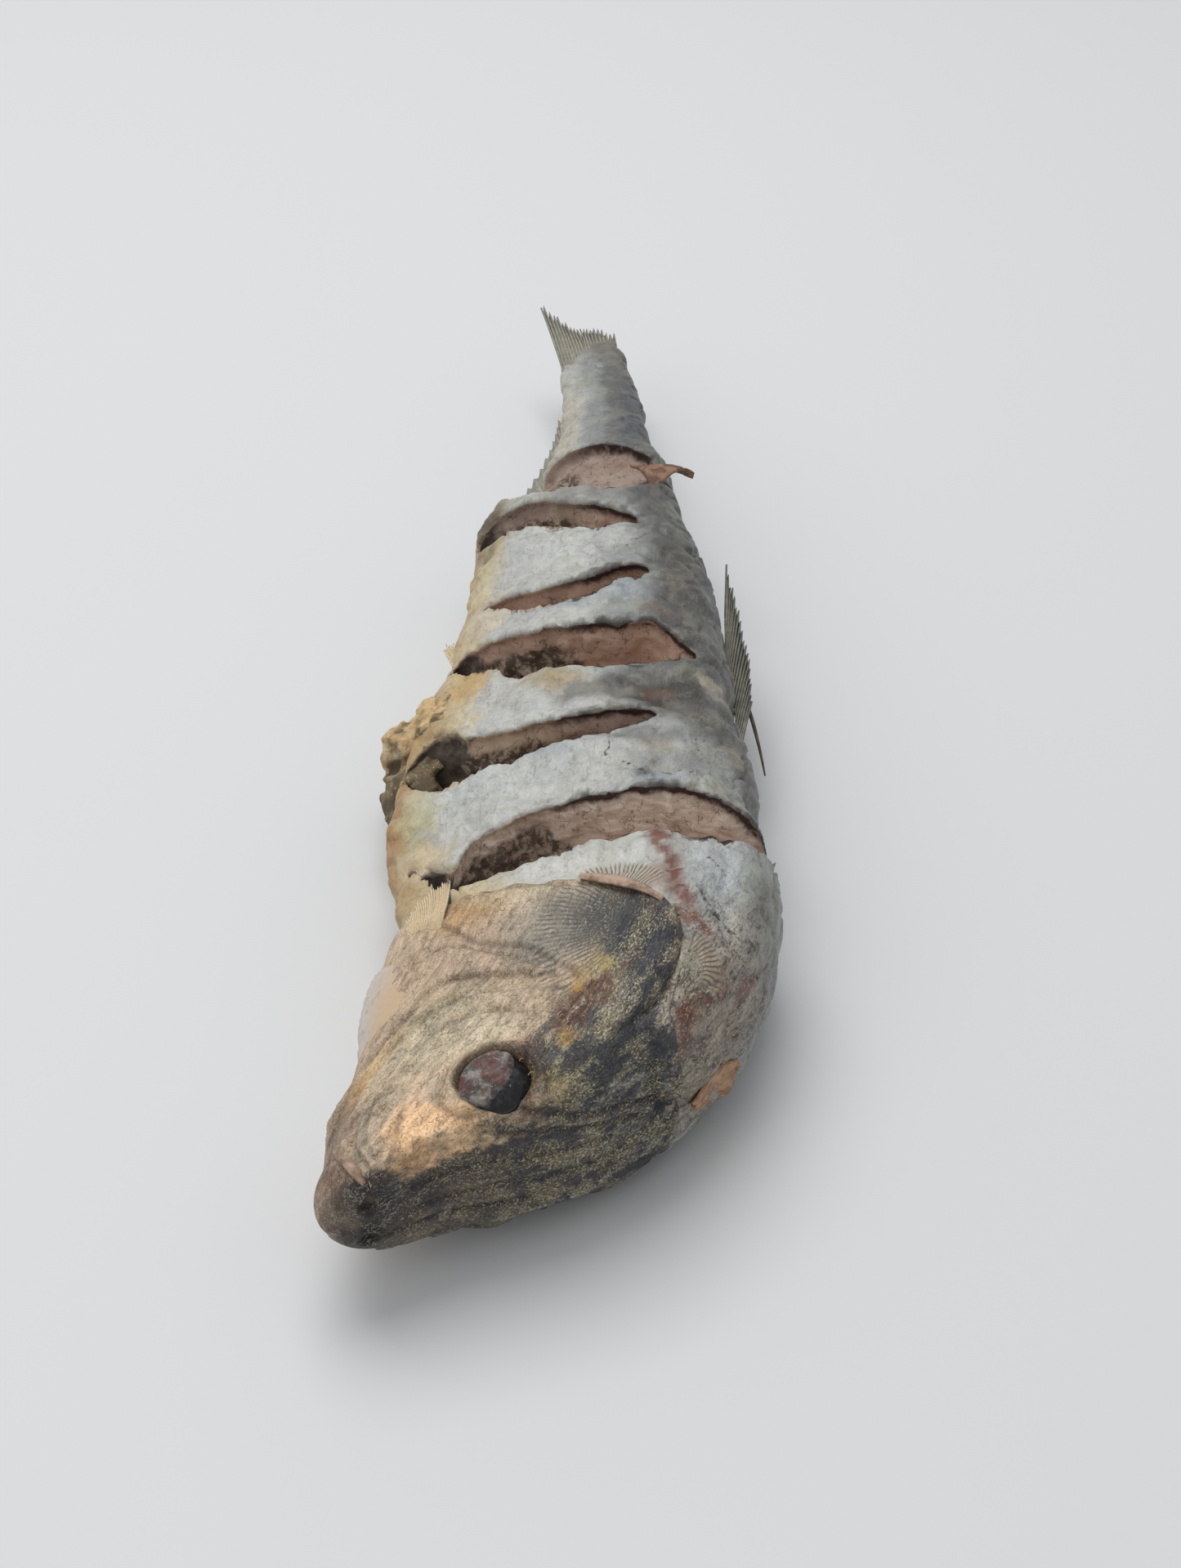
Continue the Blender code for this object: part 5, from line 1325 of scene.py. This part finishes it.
for number, (place, reach, height, radius) in enumerate(CRUMBS):
    radii = [radius * stretch for stretch in CRUMB_SHAPE]
    crumbs.append(lump(f"crumb_{number}", place, reach, height, radii, FIRST_CRUMB_SEED + number))


def joined(name, pieces):
    """One object of several."""
    points, faces, first = [], [], 0
    for piece in pieces:
        points.append(points_of(piece))
        faces += [[i + first for i in face.vertices] for face in piece.data.polygons]
        first += len(points[-1])
        bpy.data.objects.remove(piece, do_unlink=True)
    return new_piece(name, np.concatenate(points), faces)


burst = joined("burst_belly", crumbs)
remeshed(burst, CRUMB_VOXEL)
burst_points = points_of(burst)
place, reach, height = fish_measures(burst_points)
measures = np.stack([place, reach, height], axis=1)
crumbled = 0.45 * uneven(measures, 2.2, 71) + 0.2 * uneven(measures, 1.0, 72)
crumbled = crumbled - 0.3 * np.abs(uneven(measures, 1.8, 73))
moved = burst_points + normals_of(burst) * (crumbled * MM)[:, None]
moved[:, 2] = np.maximum(moved[:, 2], LOWEST_CRUMB * MM)
move_points(burst, moved)
set_vector(burst, "fish_mm", measures)
set_value(burst, "pit", crumbled)
burst_material, shader = new_material("burst_belly")
fish = shader.attribute("fish_mm")
pit = shader.attribute("pit", "Fac")
along, _, high = shader.node("SeparateXYZ", {0: fish}).outputs
grain = dry_grain(shader, fish, 2.6)
golden = shader.times(shader.ramp(along, 70.0, 74.0), shader.ramp(high, 9.0, 12.0, 0.0, 0.6))
# Painted shade in the pits that the surface sinks into; the olive clouds are dark patches of painted shade that
# stand in for holes between the crumbs.
colour = shader.stained(
    shader.blended(shader.ramp(grain["Mottle"], 0.35, 0.62), (170, 136, 94), (220, 202, 168)),
    ("golden crown", golden, (224, 188, 134)),
    ("dark front crumbs", shader.ramp(along, 69.0, 72.5, 0.8, 0.0), (94, 82, 62)),
    ("pale specks", shader.ramp(grain["Specks"], 0.55, 0.68, 0.0, 0.6), (214, 196, 158)),
    ("painted shade in the pits", shader.ramp(pit, -0.45, -0.05, 0.9, 0.0), (66, 50, 34)),
    ("olive clouds", shader.ramp(shader.noise(fish, 0.36, 3.0), 0.5, 0.6, 0.0, 0.85), (92, 82, 62)),
    ("brown foot", shader.ramp(high, 4.5, 8.0, 0.7, 0.0), (120, 96, 66)),
)
finish_material(shader, colour, 0.85, grain["Specks"], 0.7, 0.4)
belongs(burst, burst_material)

# The fins: stiff rays with dry web between them, frayed at the ends. They have dried folded along the
# body, with the tail fin shut to two narrow fans.
FIN_ROWS, COLUMNS_A_RAY, WEB_THICKNESS = 26, 7, 0.1


def sheet(name, grid, thickness):
    """A closed thin sheet over a grid of points in metres; thickness in millimetres."""
    grid = np.asarray(grid)
    rows, columns = grid.shape[:2]
    out = np.cross(np.gradient(grid, axis=0), np.gradient(grid, axis=1))
    out /= np.maximum(np.linalg.norm(out, axis=2, keepdims=True), 1e-12)
    half = (np.broadcast_to(thickness, (rows, columns)) * MM / 2)[..., None]
    points = np.concatenate([(grid + out * half).reshape(-1, 3), (grid - out * half).reshape(-1, 3)])
    points[:, 2] = np.maximum(points[:, 2], 0.0)
    i, j = (g.ravel() for g in np.mgrid[0:rows - 1, 0:columns - 1])
    here = i * columns + j
    top = np.stack([here, here + 1, here + columns + 1, here + columns], axis=1)
    under = top[:, ::-1] + rows * columns
    edge = np.concatenate([
        np.arange(columns), np.arange(1, rows) * columns + columns - 1,
        (rows - 1) * columns + np.arange(columns - 2, -1, -1), np.arange(rows - 2, 0, -1) * columns])
    after = np.roll(edge, -1)
    sides = np.stack([after, edge, edge + rows * columns, after + rows * columns], axis=1)
    piece = new_piece(name, points, np.concatenate([top, under, sides]).tolist())
    faces_out(piece)
    return piece


def keep_measures(piece):
    """Keeps the fish measures of the piece's points, for its material."""
    set_vector(piece, "fish_mm", np.stack(fish_measures(points_of(piece)), axis=1))


def fin(name, roots, tips, rays, fray, bow, seed, ray_thickness, over_flank):
    """A fan of rays from a line of roots to a line of tips; it can lie at a height over the flank."""
    columns = rays * COLUMNS_A_RAY + 1
    v = np.linspace(0.0, 1.0, columns)
    root_line, tip_line = curved(roots, 12), curved(tips, 12)
    root, tip = (
        np.stack([np.interp(v, np.linspace(0, 1, len(line)), line[:, k]) for k in range(3)], axis=1)
        for line in (root_line, tip_line))
    phase = np.abs((v * rays) % 1.0 - 0.5) * 2.0          # 1 at a ray, 0 between
    nearest_ray = np.round(v * rays)
    torn = uneven(np.stack([nearest_ray * 1.7, v * 0.0, v * 0.0], axis=1), 1.0, seed)
    notch = uneven(np.stack([v * rays * 2.3, v * 0.0 + 5, v * 0.0], axis=1), 1.0, seed + 1)
    length = 1.0 - fray * (0.5 + torn) - fray * (1.0 - phase**2) * (0.55 + 0.4 * notch)
    u = np.linspace(0.0, 1.0, FIN_ROWS)[:, None]
    path = root[None] + (tip - root)[None] * (u * length)[..., None]
    if over_flank is not None:
        for place, column in zip(path[..., 0].ravel(), path.reshape(-1, 3)):
            column[2] = flank_height(place, column[1]) - 0.5 + (over_flank + 0.5) * eased(place, 30.0, 34.5)
    path[..., 2] += bow * np.sin(math.pi * u) + 0.16 * np.cos(2 * math.pi * v * rays)[None] * (0.3 + u)
    path[..., 2] += 0.35 * u * uneven(np.stack([v * rays / 2.5, v * 0, v * 0], axis=1), 1.0, seed + 2)[None]
    thickness = WEB_THICKNESS + (ray_thickness * (1.0 - 0.65 * u)) * (phase**4)[None]
    piece = sheet(name, in_frame(path[..., 0], path[..., 1], path[..., 2]), thickness)
    for layer, values in (("on_ray", phase**3), ("to_tip", u)):
        set_value(piece, layer, np.tile(np.broadcast_to(values, (FIN_ROWS, columns)).ravel(), 2))
    keep_measures(piece)
    return piece


def fin_material(name, web_colour, ray_colour, tip_colour):
    material, shader = new_material(name)
    grain = dry_grain(shader, shader.attribute("fish_mm"), 4.0)
    colour = shader.stained(
        shader.blended(shader.attribute("on_ray", "Fac"), web_colour, ray_colour),
        ("worn", shader.times(shader.ramp(grain["Mottle"], 0.4, 0.65), 0.5), tip_colour),
        ("tips", shader.ramp(shader.attribute("to_tip", "Fac"), 0.4, 1.0, 0.0, 0.6), tip_colour),
        ("dark specks", shader.ramp(grain["Specks"], 0.35, 0.45, 0.5, 0.0), (70, 62, 54)))
    finish_material(shader, colour, 0.6, grain["Relief"], 0.5, 0.15)
    return material


TAN_FIN = fin_material("tan_fin", (212, 188, 152), (222, 202, 168), (230, 212, 180))
DARK_FIN = fin_material("dark_fin", (112, 112, 104), (146, 142, 126), (84, 84, 78))
GREY_FIN = fin_material("grey_fin", (160, 156, 142), (178, 172, 156), (128, 126, 116))
FINS = (               # material, name, roots, tips, rays, fray, bow, seed, ray thickness, height over flank
    (TAN_FIN, "pectoral_fin", ((27.4, -11.6, 0.0), (29.2, -10.4, 0.0), (31.4, -9.2, 0.0)),
     ((37.6, -14.6, 0.0), (39.8, -13.8, 0.0), (41.4, -12.4, 0.0), (42.0, -10.8, 0.0)),
     22, 0.07, 0.3, 81, 0.2, 1.4),
    (DARK_FIN, "back_fin", ((70.0, 17.2, 12.0), (78.0, 16.9, 11.8), (86.0, 16.3, 11.4), (90.0, 15.8, 11.0)),
     ((83.0, 18.9, 10.6), (92.0, 18.6, 10.6), (100.0, 17.4, 11.6), (108.0, 16.0, 13.2)),
     17, 0.14, 0.4, 83, 0.34, None),
    (GREY_FIN, "anal_fin", ((118.0, -10.4, 8.6), (126.0, -7.6, 9.4), (136.0, -5.6, 9.8), (143.0, -5.0, 9.9)),
     ((123.5, -11.9, 7.6), (131.0, -9.0, 8.6), (140.0, -6.7, 9.4), (148.0, -5.8, 9.8)),
     12, 0.16, 0.2, 85, 0.34, None),
    (TAN_FIN, "belly_fin", ((88.0, -13.2, 7.0), (89.5, -13.4, 6.4), (91.0, -13.2, 6.0)),
     ((96.0, -16.6, 7.6), (98.6, -16.0, 6.8), (99.8, -14.6, 6.0)), 8, 0.16, 0.3, 87, 0.34, None),
    (GREY_FIN, "tail_fin_upper", ((159.0, 3.6, 10.8), (160.5, 1.4, 11.6), (161.5, -0.6, 11.8)),
     ((171.4, 4.0, 10.8), (172.0, 1.4, 11.4), (171.6, -0.8, 11.6)), 9, 0.14, 0.2, 89, 0.34, None),
    (GREY_FIN, "tail_fin_lower", ((160.5, -0.4, 11.4), (160.5, -2.4, 11.2), (159.0, -4.2, 10.6)),
     ((172.0, -1.2, 11.4), (175.0, -3.4, 11.8), (178.0, -5.8, 12.6)), 9, 0.14, 0.5, 91, 0.34, None),
)
for material, *fin_measures in FINS:
    belongs(fin(*fin_measures), material)

# Loose rays and bones: the pectoral fin's dark first ray, a back ray that stands off, a splint of
# jaw bone at the snout, and a pink blade of bone on the gill cover's rim. They hold by dry skin.


def strand(name, line, widths, flat=1.0, sides=8):
    """A tapering closed strand along points in fish measures; widths are its radii from end to end."""
    line = curved(line, 8)
    radii = np.interp(np.linspace(0, 1, len(line)), np.linspace(0, 1, len(widths)), widths)
    path = in_frame(line[:, 0], line[:, 1], line[:, 2])
    along = np.gradient(path, axis=0)
    along /= np.linalg.norm(along, axis=1, keepdims=True)
    across = np.cross(along, (0.0, 0.0, 1.0))
    across /= np.maximum(np.linalg.norm(across, axis=1, keepdims=True), 1e-9)
    up = np.cross(across, along)
    angle = np.arange(sides) * 2 * math.pi / sides
    rings = path[:, None] + (radii * MM)[:, None, None] * (
        np.cos(angle)[None, :, None] * across[:, None] + flat * np.sin(angle)[None, :, None] * up[:, None])
    rings[..., 2] = np.maximum(rings[..., 2], 0.0)
    return loft(name, rings)


def bone_material(name, first_colour, second_colour, roughness):
    material, shader = new_material(name)
    grain = dry_grain(shader, shader.own_millimetres(), 4.0)
    colour = shader.blended(shader.ramp(grain["Mottle"], 0.4, 0.65), first_colour, second_colour)
    finish_material(shader, colour, roughness, grain["Relief"], 0.4, 0.15)
    return material


DARK_BONE = bone_material("dark_bone", (120, 104, 88), (92, 80, 70), 0.6)
PINK_BONE = bone_material("pink_bone", (188, 160, 138), (136, 108, 90), 0.55)
STRANDS = (            # material, name, points, radii from end to end, flatness
    (DARK_BONE, "pectoral_dark_ray", ((34.0, -9.2, 15.6), (37.6, -10.0, 16.2), (41.6, -10.9, 16.9)),
     (0.2, 0.16, 0.08), 1.0),
    (DARK_BONE, "stray_back_ray",
     ((86.0, 16.4, 12.0), (82.0, 18.4, 10.0), (78.6, 19.6, 7.6), (76.4, 20.4, 5.0)), (0.3, 0.22, 0.1), 1.0),
    (PINK_BONE, "snout_splint", ((3.8, -1.3, 14.6), (3.3, 0.2, 15.3), (2.8, 1.7, 15.2), (2.6, 2.8, 14.6)),
     (0.2, 0.46, 0.5, 0.24), 0.7),
)
for material, *strand_measures in STRANDS:
    belongs(strand(*strand_measures), material)

BLADE_LINE = curved(((38.4, 2.5), (37.9, 4.8), (37.4, 7.4), (37.1, 9.0), (36.5, 10.8)), 10)
BLADE_ENDS, BLADE_SWELL, BLADE_THICKNESS = 0.12, 0.42, 0.3
BLADE_LIFT, BLADE_HOLLOW, BLADE_BOW = 1.3, 0.14, 0.25
blade_grid = []
for k, middle in enumerate(BLADE_LINE):
    u = k / (len(BLADE_LINE) - 1)
    width = BLADE_ENDS + BLADE_SWELL * math.sin(math.pi * u**0.6)
    row = []
    for v in np.linspace(-1, 1, 9):
        place, reach = middle[0] + width * v, middle[1] + 0.2 * width * v
        lift = BLADE_HOLLOW * math.cos(3 * v)
        height = flank_height(place, reach) + BLADE_LIFT + lift + BLADE_BOW * math.sin(math.pi * u)
        row.append(in_frame(place, reach, height))
    blade_grid.append(row)
belongs(sheet("bone_blade", blade_grid, BLADE_THICKNESS), PINK_BONE)

# The gill membrane: a thin web that has dried bulging out under the jaw, from the chin to the
# pectoral fin.
WEB_PLACES, WEB_BULGE, WEB_FOOT, WEB_SINK, WEB_WAVE = (14.0, 34.0), 2.5, 2.2, 0.9, 0.3
WEB_TOP = ((13.0, 20.0, 27.0, 33.0), (13.6, 15.0, 16.0, 14.6))     # heights of its upper edge over place
MEMBRANE_THICKNESS = 0.25
belly_side = slice(int(0.28 * TABLE_AROUND), int(0.72 * TABLE_AROUND))
web_grid = []
for place in np.linspace(*WEB_PLACES, 60):
    row = int(round(place / TABLE_STEP))
    heights, reaches = skin_height[row, belly_side], skin_reach[row, belly_side]
    share = (place - WEB_PLACES[0]) / (WEB_PLACES[1] - WEB_PLACES[0])
    top = np.interp(place, *WEB_TOP)
    line = []
    for w in np.linspace(0, 1, 28):
        height = top + (WEB_FOOT - top) * w
        reach = np.interp(-height, -heights, reaches)
        bulge = WEB_BULGE * math.sin(math.pi * share) ** 1.1 * math.sin(math.pi * w) ** 0.8
        line.append((place, reach + WEB_SINK - bulge, height))
    web_grid.append(line)
web_grid = np.array(web_grid)
web_points = web_grid.reshape(-1, 3)
web_grid[..., 1] += (WEB_WAVE * uneven(web_points * (0.25, 1.0, 1.0), 1.6, 95)).reshape(web_grid.shape[:2])
web_path = in_frame(web_grid[..., 0], web_grid[..., 1], web_grid[..., 2])
web = sheet("gill_membrane", web_path, MEMBRANE_THICKNESS)
web_steps = [np.linspace(0, 1, count) for count in web_grid.shape[:2]]
along_web, across_web = np.meshgrid(*web_steps, indexing="ij")
from_edge = np.minimum(across_web, 1.3 * (1.0 - across_web))
from_edge = np.minimum(from_edge, 1.3 * np.minimum(along_web, 1.0 - along_web))
set_value(web, "from_edge", np.tile(from_edge.ravel(), 2))
keep_measures(web)
web_material, shader = new_material("gill_membrane")
grain = dry_grain(shader, shader.attribute("fish_mm"), 3.0)
# Blue-grey streaks of painted shade run along the web.
colour = shader.stained(
    shader.blended(shader.ramp(grain["Streaks"], 0.35, 0.65), (194, 184, 178), (220, 206, 192)),
    ("blue streaks of painted shade", shader.ramp(grain["Streaks"], 0.52, 0.66, 0.0, 0.6), (132, 132, 138)),
    ("tan edges", shader.ramp(shader.attribute("from_edge", "Fac"), 0.05, 0.3, 1.0, 0.0), (206, 178, 144)))
finish_material(shader, colour, 0.5, grain["Streaks"], 0.4, 0.2)
belongs(web, web_material)

# A spike of torn skin that stands off the back before the tail stem. It has dried curled, and still
# holds by its wide end at the torn patch.
SPIKE_FOOT, SPIKE_RUN, SPIKE_WIDTH, SPIKE_TIP = (119.0, 5.6), (3.2, 6.2), 2.6, 0.2
SPIKE_ARCH, SPIKE_CURL, SPIKE_THICKNESS = 1.6, 0.5, 0.35
SPIKE_GRIP, SPIKE_SINK = (122.0, 7.0), 0.6             # the last place and reach where it follows the skin


def torn_skin(name, dark_colour, pale_colour):
    material, shader = new_material(name)
    grain = dry_grain(shader, shader.attribute("fish_mm"), 2.6)
    colour = shader.blended(shader.ramp(grain["Mottle"], 0.38, 0.62), dark_colour, pale_colour)
    finish_material(shader, colour, 0.7, grain["Relief"], 0.5, 0.25)
    return material


spike_grid = []
for u in np.linspace(0, 1, 30):
    place, reach = SPIKE_FOOT[0] + SPIKE_RUN[0] * u, SPIKE_FOOT[1] + SPIKE_RUN[1] * u
    width = SPIKE_WIDTH * (1 - u) ** 0.9 + SPIKE_TIP
    foot = float(flank_height(min(place, SPIKE_GRIP[0]), min(reach, SPIKE_GRIP[1]))) - SPIKE_SINK
    height = foot + SPIKE_ARCH * math.sin(math.pi * u * 0.8) - SPIKE_ARCH * u
    spike_grid.append([
        in_frame(place + width * v, reach - 0.5 * width * v, height + SPIKE_CURL * math.cos(2.4 * v + 3 * u))
        for v in np.linspace(-1, 1, 17)])
spike = sheet("torn_skin_spike", spike_grid, SPIKE_THICKNESS)
keep_measures(spike)
belongs(spike, torn_skin("torn_skin_spike", (108, 76, 62), (158, 124, 100)))

# A flap of tan skin that has lifted off the nape. It has curled outwards and holds along its whole
# lower edge.
FLAP_LOW = ((29.0, 18.0, 8.2), (30.2, 17.9, 6.4), (31.8, 18.1, 4.8), (33.2, 18.7, 4.6), (34.2, 19.2, 5.6))
FLAP_HIGH = ((29.2, 18.1, 8.8), (30.2, 18.6, 9.5), (31.6, 19.1, 10.2), (33.0, 19.5, 9.0), (34.4, 19.6, 7.0))
FLAP_WAVE, FLAP_CURL, FLAP_SINK, FLAP_THICKNESS = 0.3, 0.3, 0.45, 0.4
flap_grid = []
for number, (low, high) in enumerate(zip(curved(FLAP_LOW, 30), curved(FLAP_HIGH, 30))):
    curl = FLAP_CURL * math.cos(0.06 * number)
    row = []
    for v in np.linspace(0, 1, 17):
        wave = FLAP_WAVE * math.sin(5 * v + 0.1 * number)
        shift = np.array((wave, curl * (v - 0.5) ** 2 * 4 - FLAP_SINK, 0.0))
        row.append(in_frame(*(low + (high - low) * v + shift)))
    flap_grid.append(row)
flap = sheet("nape_skin_flap", flap_grid, FLAP_THICKNESS)
keep_measures(flap)
belongs(flap, torn_skin("nape_skin_flap", (152, 112, 82), (194, 156, 122)))

# Fine loose things: pale bristles of dry skin that stand up where the skin has frayed. Each holds by its
# own root, just under the surface.
rng = np.random.default_rng(7)
BRISTLE_RADII, BRISTLE_ROOT = (0.035, 0.028, 0.01), 0.2
BRISTLES = (           # name, place, reach, spread along, spread across, how many, length
    ("cheek_bristles", 22.0, 0.5, 6.0, 3.5, 110, 0.8),
    ("snout_bristles", 9.0, 4.0, 5.0, 3.0, 50, 0.5),
    ("cover_bristles", 33.0, -2.0, 3.0, 4.0, 40, 0.6),
    ("speckled_bristles", 25.0, 9.5, 6.0, 2.5, 50, 0.5),
)
for name, place, reach, along, across, count, length in BRISTLES:
    bristles = []
    for _ in range(count):
        p, r = place + along * rng.normal() * 0.6, reach + across * rng.normal() * 0.6
        heading, size = rng.uniform(0, 2 * math.pi), length * rng.uniform(0.5, 1.3)
        z = float(flank_height(p, r)) + 0.15 + 0.9 * float(eased(p, 24.0, 37.0)) * (p < 39.0)
        step = np.array((math.cos(heading), math.sin(heading))) * size
        end = (p + step[0], r + step[1], z + size * rng.uniform(0.05, 0.5))
        middle = (p + step[0] * 0.5, r + step[1] * 0.5, z + size * rng.uniform(0.2, 0.45))
        bristles.append(strand("bristle", ((p, r, z - BRISTLE_ROOT), middle, end), BRISTLE_RADII, sides=4))
    belongs(joined(name, bristles), TAN_FIN)

# The floor, the lights and the camera. The floor is plain and pale, and the light is soft. The camera
# stands before the snout, 158 mm above the floor, and looks along the fish to its tail, 37 degrees down.
FLOOR_SIZE = 6.0
bpy.ops.mesh.primitive_plane_add(size=FLOOR_SIZE)
floor = bpy.context.active_object
floor.name = "floor"
floor_material, shader = new_material("pale_floor")
finish_material(shader, colour4((226, 227, 228)), 0.6)
floor.data.materials.append(floor_material)

CAMERA_PLACE, CAMERA_PITCH, CAMERA_FOCAL = (0.0, -215.36, 158.28), 36.9, 54.1
camera = bpy.data.objects.new("camera", bpy.data.cameras.new("camera"))
bpy.context.scene.collection.objects.link(camera)
camera.location = (
    (CAMERA_PLACE[0] - MIDDLE_IN_PLAN[0]) * MM,
    (CAMERA_PLACE[1] - MIDDLE_IN_PLAN[1]) * MM,
    CAMERA_PLACE[2] * MM)
camera.rotation_euler = (math.radians(90.0 - CAMERA_PITCH), 0.0, 0.0)
camera.data.lens, camera.data.clip_start = CAMERA_FOCAL, 0.01
bpy.context.scene.camera = camera


def soft_light(name, location, target, size, power):
    light = bpy.data.lights.new(name, "AREA")
    light.size, light.energy = size, power
    lamp = bpy.data.objects.new(name, light)
    bpy.context.scene.collection.objects.link(lamp)
    lamp.location = location
    lamp.rotation_euler = (Vector(target) - Vector(location)).to_track_quat("-Z", "Y").to_euler()


soft_light("overhead", (-0.12, 0.22, 0.7), (0.0, 0.0, 0.0), 0.55, 3.2)
soft_light("front", (-0.45, -0.5, 0.5), (0.0, -0.03, 0.0), 0.5, 0.9)
ROOM_COLOUR, ROOM_STRENGTH = (0.86, 0.88, 0.9, 1.0), 0.45
room = bpy.data.worlds.new("room")
bpy.context.scene.world = room
room.use_nodes = True
background = room.node_tree.nodes["Background"].inputs
background["Color"].default_value, background["Strength"].default_value = ROOM_COLOUR, ROOM_STRENGTH
bpy.context.scene.view_settings.view_transform = "Standard"
